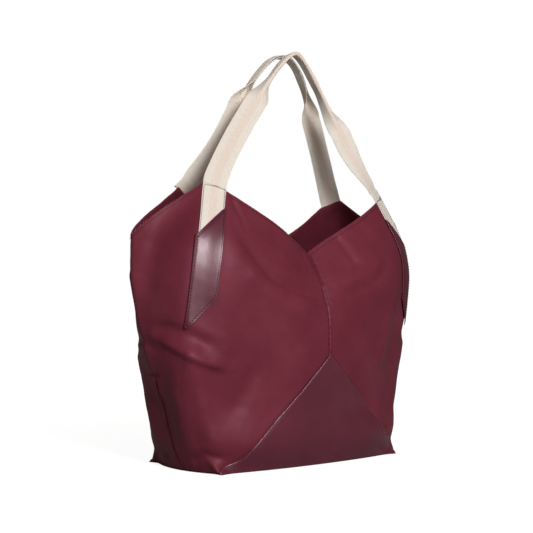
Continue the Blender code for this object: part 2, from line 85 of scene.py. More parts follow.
# Sheets' columns and rows: how many, and how wide a strip at each end has closer ones for a rounded edge
NYLON_GRID = ((210, 0.0012), (118, 0.004))
LINING_GRID = ((130, 0.0006), (70, 0.003))
BOTTOM_GRID = ((90, 0.008), (50, 0.014))
TAB_GRID = ((26, 0.0016), (74, 0.010))
TRIANGLE_COLUMNS, TRIANGLE_ROWS = 161, (46, 0.012)
WEBBING_COLUMNS, SEWN_RINGS, HANDLE_RINGS = 27, 46, 91
# Points on each kind of stitch row before it is divided by the pitch
HEM_POINTS, TRIANGLE_POINTS, TAB_SIDE_POINTS = 420, 130, 120
SEAM_POINTS, STRAP_POINTS, CROSSING_POINTS = 60, 40, 30

# The slack body's own lean to the right at its front right and back left peaks, its sunken back rim, and the
# swell of its front left and back right corners. A span is where a form starts, is whole, fades and ends.
LEAN, LEAN_SPAN = 0.014, (0.15, PEAK[2], 0.465, 0.540)
SLUMP = np.array([0, -0.009, -0.011])
SLUMP_PLACE, SLUMP_REACH = 0.085, 0.075
SLUMP_DEPTHS, SLUMP_HEIGHTS = (0.03, 0.06), (0.30, 0.41)
SWELL, SWELL_WIDTH, SWELL_SPAN = 0.012, 0.065, (0.08, 0.35, 0.76, 0.98)

# Relief of the skin: folds taper over a share of their length to a share of their height, and end beyond a
# margin of so many half widths. Waves have a height, a length and a seed. Puckers have a height and a
# spacing, and wander by so many waves of a length and seed.
FOLD_SIZE, FOLD_TAPER, FOLD_ENDS, FOLD_MARGIN = 1.9, 0.22, 0.25, 4
SKIN_WAVES = ((0.0008, 0.11, 3), (0.0005, 0.045, 5), (0.00016, 0.018, 7))
HEM_PUCKER, SEAM_PUCKER = (0.00030, 0.0085, 3, 0.05, 11), (0.00025, 0.0105, 2, 0.06, 13)
HEM_PUCKER_PLACE, PUCKER_WIDTH = 0.004, 0.010
GROOVE_DEPTH, GROOVE_WIDTH = 0.0016, 0.0018
SEAM_END, FLOOR_FADE = (-0.002, 0.002), (-0.004, 0.012)
# The share of the relief that the straps and the leather hold flat, and where
STRAP_CALM, STRAP_CALM_WIDTH, STRAP_CALM_LEVELS = 0.75, 0.085, (0.42, 0.60)
LEATHER_CALM, LEATHER_CALM_DEPTH = 0.65, 0.02

# Leather base: its triangles' peak and corner, the sag and skew of their edges, and the four ears
BASE_PEAK, BASE_CORNER, BASE_SAG, BASE_SKEW = 0.184, 0.203, 0.004, 0.008
SKEW_SPAN = (0, 0.22, 0.44, CORNER)
EAR_FRONT, EAR_BACK, EAR_SPREAD, EAR_HEIGHT, EAR_FADE = 0.0078, 0.0140, 0.035, 0.027, 1.3
LEATHER_THICKNESS, LEATHER_OUTSET = 0.0020, 0.0012
TRIANGLE_LOW, TRIANGLE_LEAST, TRIANGLE_OVERLAP, TRIANGLE_CREASE = 0.0004, 0.0032, 0.012, 0.0012
TRIANGLE_OUTER, TRIANGLE_MIDDLE, TRIANGLE_INNER = 0.0011, -0.0002, -0.0010
# Rounding of a triangle's slanted edges, ends and foot, and its plump rim: height, distance in and width
TRIANGLE_ROUND, TRIANGLE_PLUMP = (0.0011, 0.006, 0.0008), (0.0003, 0.0060, 0.004)

# Nylon and lining: how far the nylon reaches under the leather and is pressed in by it, and the turned hem
NYLON_THICKNESS, NYLON_UNDER, NYLON_FOOT, NYLON_LOWEST = 0.0010, 0.0035, 0.0023, 0.0021
NYLON_TUCK, TUCK_LEAST, TUCK_FADE = 0.0016, 0.004, (-0.002, 0.006)
HEM_WIDTH, HEM_STITCH, HEM_FADE, HEM_EXTRA, HEM_MIDDLE = 0.012, 0.0062, 0.001, 0.0016, 0.0009
RIM_ROUND, SEAM_ROUND, SEAM_LAP = 0.0014, 0.0008, 0.0005
LINING_FOOT, LINING_THICKNESS, LINING_DEPTH, LINING_LAP = 0.0055, 0.0006, 0.0021, 0.0006
LINING_WAVES = ((0.0012, 0.06, 21), (0.0006, 0.022, 23))
LINING_FADE, LINING_ROUND = 0.03, 0.0005
LINING_FLOOR, LINING_INSET = (0.0046, 0.0052), -0.0022
LINING_SAG, SAG_LENGTH, SAG_SEED, SAG_EDGES = 0.0012, 0.07, 31, 6

# Straps and tabs. Each has a lift above the skin, and the lifts add up from the skin outwards.
STRAP_WIDTH, STRAP_THICKNESS, SEWN_LIFT = 0.038, 0.0016, 0.0006
STRAP_HIDDEN = 0.016
TAB_WIDTH, TAB_THICKNESS, TAB_TOP, TAB_LENGTH = 0.043, 0.0014, 0.0665, 0.1535
TAB_SLANT = math.radians(55.0)
TAB_LIFT = SEWN_LIFT + STRAP_THICKNESS + 0.0003
TAB_ROUND, TAB_DROOP, TAB_DROOP_FROM = 0.0009, 0.0006, STRAP_WIDTH / 2 - 0.001
TAB_PLUMP, TAB_PLUMP_FADE = 0.0004, (0.002, 0.014)
TAB_PRESSED, TAB_PRESSED_WIDTH, TAB_ROW = 0.0003, 0.0012, 0.0029
# Height and width of the rounding at a tab's upper and lower sharp corner
TAB_CUTS = ((0.0050, 0.10), (0.0085, 0.13))

# Handles: the middle line's top, and how the webbing is folded in two and creased above the rim
HANDLE_TOP = np.array([0.0260, -0.0231, 0.7066])
HANDLE_BEND_BACK = 0.0090
HANDLE_SPACING = 0.10
# Front or back, then side: angle and length of the pull at the foot, length of the pull at the top, facing
# at the neck, how far up the turn takes, where the fold is whole, from the top, and how long it takes
BRANCHES = {
    (True, -1): (math.radians(77.0), 0.041, 0.034, math.radians(52.0), 0.060, 0.066, 0.074),
    (True, 1): (math.radians(54.0), 0.119, 0.031, math.radians(110.0), 0.120, 0.076, 0.088),
    (False, -1): (math.radians(34.0), 0.124, 0.073, math.radians(118.0), 0.060, 0.082, 0.062),
    (False, 1): (math.radians(67.0), 0.140, 0.047, math.radians(60.0), 0.060, 0.076, 0.062),
}
FOLD_RADIUS, FOLD_CLOSED, FACING_EASE = 0.0027, 1.105, 0.03
CREASE, CREASE_PLACE, CREASE_WIDTH = 0.0014, 0.021, 0.0045
SLACK, SLACK_LENGTH, SLACK_SEED, SLACK_FADE = 0.0006, 0.05, 41, (0.01, 0.04)
CROSSING_EASE = 0.040
# Where a handle's mesh passes from the bag to the swinging handle
HANDLE_Y, BEND_LOW, BEND_HIGH = 0.06, 0.452, 0.500

# Stitches: thread radius, stitch length and pitch
SEAM_STITCH = (0.00062, 0.0030, 0.0045)
HEM_INNER_STITCH = (0.00030, 0.0030, 0.0045)
TRIANGLE_STITCH = (0.00048, 0.0030, 0.0045)
TAB_STITCH = (0.00090, 0.0027, 0.0050)
STRAP_STITCH = (0.00075, 0.0026, 0.0044)
# How high each kind of row lies above the skin
ROW_LIFT, HEM_INNER_LIFT, TRIANGLE_LIFT = 0.0001, -0.0027, 0.0012
TAB_END_LIFT = TAB_LIFT + TAB_THICKNESS - 0.0004
TAB_SIDE_LIFT = TAB_END_LIFT - 0.0001
STRAP_LIFT = SEWN_LIFT + STRAP_THICKNESS + 0.00005
# How far a row lies from its edge or seam, and how far its ends stop short
SEAM_ROW, TRIANGLE_ROW, DART_ROW, STRAP_ROW = 0.0030, 0.0026, 0.016, 0.0018
TAB_SECOND_ROW, CROSSING_ROW = 0.0040, 0.0022
ROW_END, SHORT_END, TRIANGLE_START = 0.004, 0.001, 0.0015
TRIANGLE_ROW_LOWEST, STRAP_CLEAR, NORMAL_STEP = 0.005, 0.012, 0.0002

# Right or left, front or back, in the order in which the pieces are made
QUARTERS = ((True, True), (False, True), (True, False), (False, False))


def unit(vectors):
    """The vectors scaled to length one."""
    return vectors / np.maximum(np.linalg.norm(vectors, axis=-1, keepdims=True), 1e-12)


def bezier(start, pull_start, pull_end, end, along):
    """Cubic Bezier curve: the four points weighted by the cubic Bernstein polynomials of the share along."""
    s = np.asarray(along, float)[..., None]
    rest = 1 - s
    return rest**3 * start + 3 * rest**2 * s * pull_start + 3 * rest * s**2 * pull_end + s**3 * end


def part_way(low, high, value):
    """0 below low, 1 above high, even between them."""
    return np.clip((value - low) / (high - low), 0, 1)


def smooth_step(low, high, value):
    """0 below low, 1 above high, 3s^2 - 2s^3 between them."""
    s = part_way(low, high, value)
    return s * s * (3 - 2 * s)


def span_step(span, value):
    """Smooth rise from 0 to 1 between a span's first two values and fall back to 0 between its last two."""
    start, whole, fades, end = span
    return smooth_step(start, whole, value) * (1 - smooth_step(fades, end, value))


def bump(value, width):
    """Bell curve: e to the minus (value / width) squared."""
    return np.exp(-((value / width) ** 2))


def travelled_on(line):
    """Distance travelled along a line at each of its points."""
    return np.concatenate([[0], np.cumsum(np.linalg.norm(np.diff(line, axis=0), axis=1))])


def share_of(turn):
    """Share of the way round a quarter, 0 at the front's or back's middle and 1 at a side's."""
    return 1 - np.abs(1 - np.abs(turn))


def run_of(turn):
    """Distance round the body for a turn, with the front part of each quarter longer than its side part."""
    share = share_of(turn)
    run = FRONT_RUN * np.minimum(share, CORNER) + SIDE_RUN * np.maximum(share - CORNER, 0)
    return np.sign(turn) * np.where(np.abs(turn) > 1, AROUND / 2 - run, run)


def turn_at(run):
    """Turn for a distance round the body."""
    turns = np.linspace(-2, 2, TURN_SAMPLES)
    return np.interp(run, run_of(turns), turns)


def from_seam(run):
    """Distance from the nearer middle seam."""
    return np.minimum(np.abs(run), AROUND / 2 - np.abs(run))


def to_back(turn):
    """The front's turn carried to the back, straight across."""
    return np.where(turn < 0, -2 - turn, 2 - turn)


def place_turn(turn, right, front):
    """The front right quarter's turn carried to one of the four quarters."""
    turn = turn if front else 2 - turn
    return turn if right else -turn


# The skin: a loft through six level sections

def crossing():
    """Middle of the strap's crossing of the rim, and half of it as a vector from the notch side outwards."""
    flat = math.cos(CROSSING_RISE)
    along = [flat * math.sin(STRAP_FACING), flat * math.cos(STRAP_FACING), math.sin(CROSSING_RISE)]
    return PEAK, np.array(along) * STRAP_WIDTH / 2


def way_out(facing):
    """Level direction at an angle from the side towards the front."""
    return np.array([math.cos(facing), -math.sin(facing), 0])


def rim_curve(share):
    """Rim of a quarter: a Bezier from notch to strap, straight under the strap, a Bezier on to the side."""
    middle, half = crossing()
    inner, outer = middle - half, middle + half
    tip = np.array([LENGTH / 2, 0, SIDE_HEIGHT])
    climb, fall = (inner - NOTCH) / 3, (tip - outer) / 3
    front = bezier(NOTCH, NOTCH + climb + NOTCH_BOW, NOTCH + 2 * climb + STRAP_BOW, inner,
                   part_way(0, STRAP_IN, share))
    side = bezier(outer, outer + fall, outer + 2 * fall + SIDE_BOW, tip, part_way(STRAP_OUT, 1, share))
    across = part_way(STRAP_IN, STRAP_OUT, share)[..., None]
    picked = np.where((share <= STRAP_IN)[..., None], front, inner + (outer - inner) * across)
    return np.where((share > STRAP_OUT)[..., None], side, picked)


def base_section(share):
    """Lowest section: a rectangle whose edges bow out as 1 - u^2."""
    _, front_depth, corner_length, corner_depth, side_length = SECTIONS[0]
    corner = np.array([corner_length * LENGTH, -corner_depth * DEPTH]) / 2
    u, w = part_way(0, CORNER, share), part_way(CORNER, 1, share)
    front = np.stack([corner[0] * u, corner[1] - (front_depth * DEPTH / 2 + corner[1]) * (1 - u**2)], -1)
    reach = side_length * LENGTH / 2 - corner[0]
    side = np.stack([corner[0] + reach * (1 - (1 - w) ** 2), corner[1] * (1 - w)], -1)
    return np.where((share <= CORNER)[..., None], front, side)


def wall_section(row, slope, point, share):
    """Higher section: a Bezier from the front's middle to the corner and one on to the side's middle."""
    _, front_depth, corner_length, corner_depth, side_length = row
    front = np.array([0, -front_depth * DEPTH / 2])
    corner = np.array([corner_length * LENGTH, -corner_depth * DEPTH]) / 2
    side = np.array([side_length * LENGTH / 2, 0])
    heading = np.array([math.cos(slope), math.sin(slope)])
    arrival = np.array([math.sin(point), math.cos(point)])
    front_pull = SECTION_PULL * np.linalg.norm(corner - front)
    side_pull = SECTION_PULL * np.linalg.norm(side - corner)
    before = bezier(front, front + np.array([front_pull, 0]), corner - heading * front_pull, corner,
                    part_way(0, CORNER, share))
    after = bezier(corner, corner + heading * side_pull, side - arrival * side_pull, side,
                   part_way(CORNER, 1, share))
    return np.where((share <= CORNER)[..., None], before, after)


def through_levels(levels, values, level):
    """Cubic Hermite curve through the values, with each slope the weighted mean of its two neighbours'."""
    gaps = np.diff(levels)
    rises = np.diff(values, axis=0) / gaps[:, None, None]
    slopes = np.concatenate([rises[:1], rises, rises[-1:]])
    weights = np.concatenate([gaps[:1], gaps, gaps[-1:]])[:, None, None]
    slopes = (slopes[:-1] * weights[1:] + slopes[1:] * weights[:-1]) / (weights[1:] + weights[:-1])
    cell = np.clip(np.searchsorted(levels, level, side="right") - 1, 0, len(gaps) - 1)
    width = gaps[cell][:, None]
    s = ((level - levels[cell]) / gaps[cell])[:, None]
    item = np.arange(len(level))
    low, high = values[cell, item], values[cell + 1, item]
    low_slope, high_slope = slopes[cell, item] * width, slopes[cell + 1, item] * width
    return ((2 * s**3 - 3 * s**2 + 1) * low + (s**3 - 2 * s**2 + s) * low_slope
            + (3 * s**2 - 2 * s**3) * high + (s**3 - s**2) * high_slope)


def ear(turn, height):
    """How far a corner is drawn out into an ear near the floor, less at the front than at the back.

    A bell curve round the corner, times a power of the share of the ear's height that is still above.
    """
    reach = np.where(np.abs(turn) > 1, EAR_BACK, EAR_FRONT) * bump(share_of(turn) - CORNER, EAR_SPREAD)
    return reach * np.clip(1 - height / EAR_HEIGHT, 0, 1) ** EAR_FADE


def wall(turn, level):
    """Points of the smooth wall: one lofted quarter, mirrored in X and Y, with its ear."""
    turn, level = np.broadcast_arrays(np.asarray(turn, float), np.asarray(level, float))
    shape = turn.shape
    turn, level = turn.ravel(), level.ravel()
    turn = np.where(turn > 2, turn - 4, np.where(turn < -2, turn + 4, turn))
    share = share_of(turn)
    rim = rim_curve(share)
    sections = [base_section(share)]
    for row, slope, point in zip(SECTIONS[1:], CORNER_SLOPES, SIDE_POINTS):
        sections.append(wall_section(row, slope, point, share))
    sections.append(rim[:, :2])
    levels = np.array([row[0] for row in SECTIONS] + [1.0])
    points = np.column_stack([through_levels(levels, np.array(sections), level), level * rim[:, 2]])
    points[:, :2] += ear(turn, points[:, 2])[:, None] * np.array([1, -1]) / math.sqrt(2)
    points[:, 0] *= np.where(turn < 0, -1, 1)
    points[:, 1] *= np.where(np.abs(turn) > 1, -1, 1)
    return points.reshape(shape + (3,))


def wall_slopes(turn, level):
    """How the wall's points move with turn and with level, as central differences."""
    low, high = np.clip(level - STEP, 0, 1), np.clip(level + STEP, 0, 1)
    by_turn = (wall(turn + STEP, level) - wall(turn - STEP, level)) / (2 * STEP)
    return by_turn, (wall(turn, high) - wall(turn, low)) / (high - low)[..., None]


def heights_by_share():
    """Heights of the rim and of the leather triangle's edge, by share of a quarter.

    Seen from the front, the edge is a straight line from peak to ear less a parabola. Its height on the wall
    is found by halving.
    """
    share = np.linspace(0, 1, SHARE_SAMPLES)
    share = np.unique(np.concatenate([share, [STRAP_IN, CORNER, STRAP_OUT]]))
    top = rim_curve(share)[:, 2]
    low, high = np.zeros_like(top), np.ones_like(top)
    for _ in range(HALVINGS):
        middle = (low + high) / 2
        out = np.clip(np.abs(wall(share, middle)[..., 0]) / BASE_CORNER, 0, 1)
        above = middle * top > BASE_PEAK * (1 - out) - 4 * BASE_SAG * out * (1 - out)
        low, high = np.where(above, low, middle), np.where(above, middle, high)
    return share, top, np.where(share < CORNER, high * top, 0)


HEIGHTS = heights_by_share()


def rim_height(turn):
    """Height of the rim at each turn."""
    return np.interp(share_of(turn), HEIGHTS[0], HEIGHTS[1])


def triangle_height(turn):
    """Height of the leather triangle's edge, zero beyond its corners, lower at front left and back right."""
    share = share_of(turn)
    skewed = BASE_SKEW * np.sign(np.sin(math.pi * np.asarray(turn))) * span_step(SKEW_SPAN, share)
    return np.clip(np.interp(share, HEIGHTS[0], HEIGHTS[2]) + skewed, 0, None)


# Folds: height and half width in millimetres, skew (one flank wider, the other narrower), then (turn, level)
# points. The first table is for what the photo shows, the second for the far side.
NEAR_FOLDS = (
    (-2.6, 11, 0.35, (-0.50, 0.90), (-0.468, 0.840), (-0.380, 0.787), (-0.295, 0.745), (-0.160, 0.743),
     (0.013, 0.768)),
    (2.0, 15, 0.0, (-0.46, 0.76), (-0.36, 0.70), (-0.22, 0.665), (-0.05, 0.69)),
    (-1.1, 7, 0.3, (0.150, 1.0), (0.175, 0.973), (0.192, 0.865), (0.183, 0.835)),
    (0.8, 11, 0.0, (0.215, 0.97), (0.235, 0.90), (0.225, 0.84)),
    (1.6, 13, 0.3, (0.07, 0.815), (0.20, 0.80), (0.34, 0.82), (0.47, 0.86)),
    (-1.4, 9, 0.0, (0.10, 0.76), (0.26, 0.745), (0.42, 0.78)),
    (3.4, 10, 0.55, (-0.90, 0.525), (-0.853, 0.505), (-0.708, 0.432), (-0.573, 0.395), (-0.46, 0.375)),
    (-3.4, 13, -0.3, (-0.93, 0.575), (-0.80, 0.535), (-0.66, 0.475), (-0.53, 0.445)),
    (-1.5, 8, 0.4, (-1.22, 0.455), (-1.20, 0.485), (-1.08, 0.520), (-0.96, 0.517), (-0.87, 0.465)),
    (2.6, 15, 0.0, (-0.58, 0.03), (-0.532, 0.12), (-0.557, 0.258), (-0.63, 0.425), (-0.675, 0.482)),
    (-2.0, 7, 0.0, (-1.397, 0.02), (-1.26, 0.055), (-1.145, 0.062), (-1.042, 0.035)),
    (-1.8, 6, 0.2, (-0.80, 0.035), (-0.69, 0.050), (-0.60, 0.063), (-0.50, 0.055)),
    (-1.8, 5, 0.0, (-0.515, 0.993), (-0.462, 0.938), (-0.44, 0.888)),
    (-1.6, 3.5, 0.0, (-0.045, 0.985), (-0.06, 0.945), (-0.055, 0.90)),
    (-1.6, 6, 0.0, (0.460, 0.135), (0.428, 0.095), (0.353, 0.152)),
    (2.2, 16, 0.0, (0.33, 0.36), (0.40, 0.52), (0.47, 0.68)),
    (-2.2, 13, 0.0, (0.45, 0.30), (0.50, 0.45), (0.545, 0.60)),
    (-1.6, 14, 0.0, (-0.45, 0.20), (-0.38, 0.30), (-0.34, 0.42)),
    (1.6, 16, 0.0, (-1.12, 0.66), (-1.05, 0.76), (-1.0, 0.86)),
    (-2.0, 12, 0.0, (-0.86, 0.92), (-0.90, 0.80), (-0.93, 0.68)),
)
FAR_FOLDS = (
    (-2.4, 11, 0.3, (1.52, 0.88), (1.62, 0.80), (1.78, 0.755), (1.96, 0.765)),
    (1.8, 15, 0.0, (1.56, 0.75), (1.70, 0.70), (1.90, 0.69)),
    (-2.2, 10, 0.2, (-1.50, 0.90), (-1.60, 0.82), (-1.75, 0.77), (-1.93, 0.775)),
    (1.7, 14, 0.0, (-1.55, 0.74), (-1.72, 0.68), (-1.88, 0.67)),
    (3.0, 10, 0.5, (1.16, 0.52), (1.30, 0.45), (1.44, 0.405), (1.56, 0.385)),
    (-3.0, 12, -0.3, (1.10, 0.57), (1.26, 0.52), (1.42, 0.46)),
    (1.5, 14, 0.5, (-1.12, 0.44), (-1.28, 0.40), (-1.42, 0.37), (-1.55, 0.36)),
    (-1.4, 15, -0.3, (-1.18, 0.50), (-1.34, 0.46), (-1.50, 0.42)),
    (1.7, 13, 0.5, (0.88, 0.50), (0.72, 0.43), (0.60, 0.39), (0.48, 0.37)),
    (-1.5, 15, -0.3, (0.92, 0.56), (0.78, 0.51), (0.62, 0.46)),
    (-2.2, 7, 0.3, (1.20, 0.47), (1.06, 0.51), (0.94, 0.50), (0.86, 0.45)),
    (1.2, 18, 0.0, (0.58, 0.03), (0.53, 0.12), (0.55, 0.26), (0.61, 0.40)),
    (2.4, 15, 0.0, (1.42, 0.03), (1.46, 0.13), (1.44, 0.26), (1.39, 0.41)),
    (2.4, 15, 0.0, (-1.42, 0.03), (-1.47, 0.12), (-1.45, 0.24), (-1.40, 0.38)),
    (-1.8, 7, 0.0, (1.38, 0.03), (1.25, 0.055), (1.12, 0.06), (1.0, 0.035)),
    (-1.8, 6, 0.0, (0.62, 0.04), (0.74, 0.055), (0.86, 0.05)),
    (1.8, 15, 0.0, (1.10, 0.67), (1.04, 0.78), (1.0, 0.88)),
)
# The short dart at each side: a seam that sinks in, with a small tuck across its top
DART = ((-0.99, 0.385), (-0.995, 0.335), (-0.975, 0.285), (-0.965, 0.235), (-0.955, 0.15), (-0.94, 0.07),
        (-0.925, 0.012))
DART_TUCK = ((-1.035, 0.392), (-0.99, 0.398), (-0.93, 0.390))


def over(points):
    """The same line on the right side."""
    return tuple((-turn, level) for turn, level in points)


def dart_folds(line, tuck):
    """A dart's groove within a soft ridge, its tuck, and the dimple at its top."""
    return (-2.2, 2.6, 0.0, *line), (1.0, 6, 0.0, *line), (-2.6, 3.2, 0.0, *tuck), (-2.0, 4.5, 0.0, *line[:2])


FOLDS = NEAR_FOLDS + FAR_FOLDS + dart_folds(DART, DART_TUCK) + dart_folds(over(DART), over(DART_TUCK))


def line_distance(run, height, ends):
    """Signed distance to a chain of straight pieces, and the nearest point's share of the way along it."""
    steps = np.diff(ends, axis=0)
    starts = travelled_on(ends)
    nearest = np.full(run.shape, np.inf)
    signed, along = np.zeros(run.shape), np.zeros(run.shape)
    for start, step, travelled in zip(ends, steps, starts):
        size = np.linalg.norm(step)
        x = (run - start[0] + AROUND / 2) % AROUND - AROUND / 2
        y = height - start[1]
        s = np.clip((x * step[0] + y * step[1]) / size**2, 0, 1)
        dx, dy = x - s * step[0], y - s * step[1]
        apart = np.hypot(dx, dy)
        closer = apart < nearest
        nearest = np.where(closer, apart, nearest)
        signed = np.where(closer, np.sign(step[0] * dy - step[1] * dx) * apart, signed)
        along = np.where(closer, (travelled + s * size) / starts[-1], along)
    return signed, along


def waves(points, wavelength, seed):
    """Sum of nine sine waves of about one wavelength, turned and shifted by seeded amounts, about -1 to 1."""
    dice = np.random.default_rng(seed)
    ways = unit(dice.normal(size=(9, 3))) * (2 * math.pi / wavelength * dice.uniform(0.7, 1.4, (9, 1)))
    return np.sin(points @ ways.T + dice.uniform(0, 2 * math.pi, 9)).sum(-1) / 4


def folds(run, height):
    """Height of all the folds: each a bell-shaped ridge or valley along its line, lower towards its ends."""
    total = np.zeros(run.shape)
    for size, width, skew, *line in FOLDS:
        size, width = FOLD_SIZE * size / 1000, width / 1000
        ends = np.array([[run_of(place), part * rim_height(place)] for place, part in line])
        middle = (ends.min(0) + ends.max(0)) / 2
        reach = (ends.max(0) - ends.min(0)) / 2 + FOLD_MARGIN * width
        aside = np.abs((run - middle[0] + AROUND / 2) % AROUND - AROUND / 2)
        near = (aside < reach[0]) & (np.abs(height - middle[1]) < reach[1])
        signed, along = line_distance(run[near], height[near], ends)
        taper = smooth_step(0, FOLD_TAPER, along) * smooth_step(0, FOLD_TAPER, 1 - along)
        profile = bump(signed, width * (1 + skew * np.sign(signed)))
        total[near] += size * profile * (FOLD_ENDS + (1 - FOLD_ENDS) * taper)
    return total


def puckers(along, points, height, spacing, wander, length, seed):
    """Even little waves along a seam, shifted by slow ones."""
    return height * np.sin(along * 2 * math.pi / spacing + wander * waves(points, length, seed))


def relief(turn, level, points):
    """How far the skin stands proud: folds, waves, swollen corners, puckers by the rim and by the seams.

    The sum, less a bell-shaped groove along each middle seam, is calmed by the straps and the leather, and
    fades out towards the floor.
    """
    run, height = run_of(turn), points[..., 2]
    seam, below, under = from_seam(run), rim_height(turn) - height, triangle_height(turn) - height
    total = folds(run, height)
    total += sum(size * waves(points, length, seed) for size, length, seed in SKIN_WAVES)
    corner = bump(seam - FRONT_RUN * CORNER, SWELL_WIDTH) * span_step(SWELL_SPAN, level)
    total += SWELL * np.maximum(-np.sin(math.pi * turn), 0) * corner
    total += puckers(run, points, *HEM_PUCKER) * bump(below - HEM_PUCKER_PLACE, PUCKER_WIDTH)
    sewn = puckers(height, points, *SEAM_PUCKER) * bump(seam, PUCKER_WIDTH)
    total += (sewn - GROOVE_DEPTH * bump(seam, GROOVE_WIDTH)) * (1 - smooth_step(*SEAM_END, under))
    calm = bump(share_of(turn) - CORNER, STRAP_CALM_WIDTH) * smooth_step(*STRAP_CALM_LEVELS, level)
    stiff = smooth_step(0, LEATHER_CALM_DEPTH, under)
    return total * (1 - STRAP_CALM * calm) * (1 - LEATHER_CALM * stiff) * smooth_step(*FLOOR_FADE, height)


def lean_over(points):
    """Moves the front right and back left peaks to the right, and lets the back rim sink.

    The move is an S-curve of x times -y, shared out over the height. The sag is a parabola along x.
    """
    x, y, z = points[..., 0], points[..., 1], points[..., 2]
    aside = LEAN * smooth_step(0, 1, x * y / (PEAK[0] * PEAK[1])) * span_step(LEAN_SPAN, z)
    sunk = np.clip(1 - ((np.abs(x) - SLUMP_PLACE) / SLUMP_REACH) ** 2, 0, 1)
    sunk = sunk * smooth_step(*SLUMP_DEPTHS, y) * smooth_step(*SLUMP_HEIGHTS, z)
    return points + aside[..., None] * np.array([1, 0, 0]) + sunk[..., None] * SLUMP


def skins(turn, level, *lifts):
    """The folded surface at each lift: the wall moved out along its normal by relief and lift, then leant."""
    turn, level = np.broadcast_arrays(np.asarray(turn, float), np.asarray(level, float))
    by_turn, by_level = wall_slopes(turn, level)
    points = wall(turn, level)
    out = unit(np.cross(by_turn, by_level))
    folded = points + out * relief(turn, level, points)[..., None]
    return [lean_over(folded + out * np.broadcast_to(lift, turn.shape)[..., None]) for lift in lifts]


# Mesh making

def add_mesh(name, points, faces, uv=None):
    """Smooth mesh object from points and faces (an array or a list), its UV map in metres called cloth."""
    if isinstance(faces, list):
        sizes, corners = np.array([len(face) for face in faces]), np.concatenate(faces)
    else:
        sizes, corners = np.full(len(faces), faces.shape[1]), faces.ravel()
    mesh = bpy.data.meshes.new(name)
    mesh.vertices.add(len(points))
    mesh.vertices.foreach_set("co", np.asarray(points, np.float32).ravel())
    mesh.loops.add(len(corners))
    mesh.loops.foreach_set("vertex_index", corners.astype(np.int32))
    mesh.polygons.add(len(sizes))
    mesh.polygons.foreach_set("loop_start", np.concatenate([[0], np.cumsum(sizes)[:-1]]).astype(np.int32))
    mesh.update(calc_edges=True)
    mesh.shade_smooth()
    if uv is not None:
        mesh.uv_layers.new(name="cloth").data.foreach_set("uv", np.asarray(uv, np.float32)[corners].ravel())
    mesh.validate()
    obj = bpy.data.objects.new(name, mesh)
    bpy.context.scene.collection.objects.link(obj)
    return obj


def double_skin(name, outer, inner, uv, flip=False):
    """Closed sheet from two grids of one size that share their border: the border points are their means."""
    columns, rows = outer.shape[:2]
    index = np.arange(columns * rows).reshape(columns, rows)
    inside = np.zeros((columns, rows), bool)
    inside[1:-1, 1:-1] = True
    points = outer.copy()
    points[~inside] = (outer[~inside] + inner[~inside]) / 2
    under = index.copy()
    under[inside] = columns * rows + np.arange(inside.sum())
    quads = []
    for grid, forward in ((index, not flip), (under, flip)):
        face = np.stack([grid[:-1, :-1], grid[1:, :-1], grid[1:, 1:], grid[:-1, 1:]], -1).reshape(-1, 4)
        quads.append(face if forward else face[:, ::-1])
    all_points = np.concatenate([points.reshape(-1, 3), inner[inside]])
    all_uv = np.concatenate([uv.reshape(-1, 2), uv[inside]])
    return add_mesh(name, all_points, np.concatenate(quads), all_uv)


def edge_round(distance, radius):
    """Share of the full thickness at a distance from a rounded edge: a quarter ellipse."""
    return np.sqrt(np.clip(1 - (1 - np.clip(distance / radius, 0, 1)) ** 2, 0, 1))


def with_edges(low, high, count, strip):
    """Even spacing from low to high, with closer values within a strip at each end for a rounded edge."""
    near = np.array([0, 0.12, 0.4, 1]) * strip
    even = np.linspace(low + strip, high - strip, count)
    return np.concatenate([low + near, even[1:-1], high - near[::-1]])


# Body

def half_sheet(name, side, runs, height, lifts, lowest):
    """Half of the body at two lifts from the skin: its ends lap over the middle seams, nothing is too low."""
    turns = turn_at(runs) * side
    faces = skins(turns, height / rim_height(turns), *lifts)
    for points in faces:
        points[[0, -1], :, 0] = -side * SEAM_LAP
        points[..., 2] = np.maximum(points[..., 2], lowest)
    uv = np.stack([np.broadcast_to(runs * side, height.shape), height], -1)
    return double_skin(name, *faces, uv, side < 0)


def body_half(name, side):
    """Nylon half, from seam to seam: its rim turned in as a hem, its foot under the leather.

    Its faces are lifts from the skin that meet at rim and seams in quarter ellipses. The hem is thicker
    inwards.
    """
    columns, rows = NYLON_GRID
    runs = with_edges(0, AROUND / 2, *columns)[:, None]
    turns = turn_at(runs) * side
    top, edge = rim_height(turns), triangle_height(turns)
    foot = np.maximum(edge - NYLON_UNDER, NYLON_FOOT)
    height = foot + (top - foot) * with_edges(0, 1, *rows)
    tuck = NYLON_TUCK * np.where(edge > TUCK_LEAST, 1 - smooth_step(*TUCK_FADE, height - edge), 0)
    hem = 1 - smooth_step(HEM_WIDTH - HEM_FADE, HEM_WIDTH + HEM_FADE, top - height)
    rounding = edge_round(top - height, RIM_ROUND) * edge_round(from_seam(runs), SEAM_ROUND)
    middle = -HEM_MIDDLE * hem - NYLON_THICKNESS / 2 * (1 - hem)
    outer = middle * (1 - rounding) - tuck
    inner = middle - (NYLON_THICKNESS + HEM_EXTRA * hem + middle) * rounding - tuck
    return half_sheet(name, side, runs, height, (outer, inner), NYLON_LOWEST)


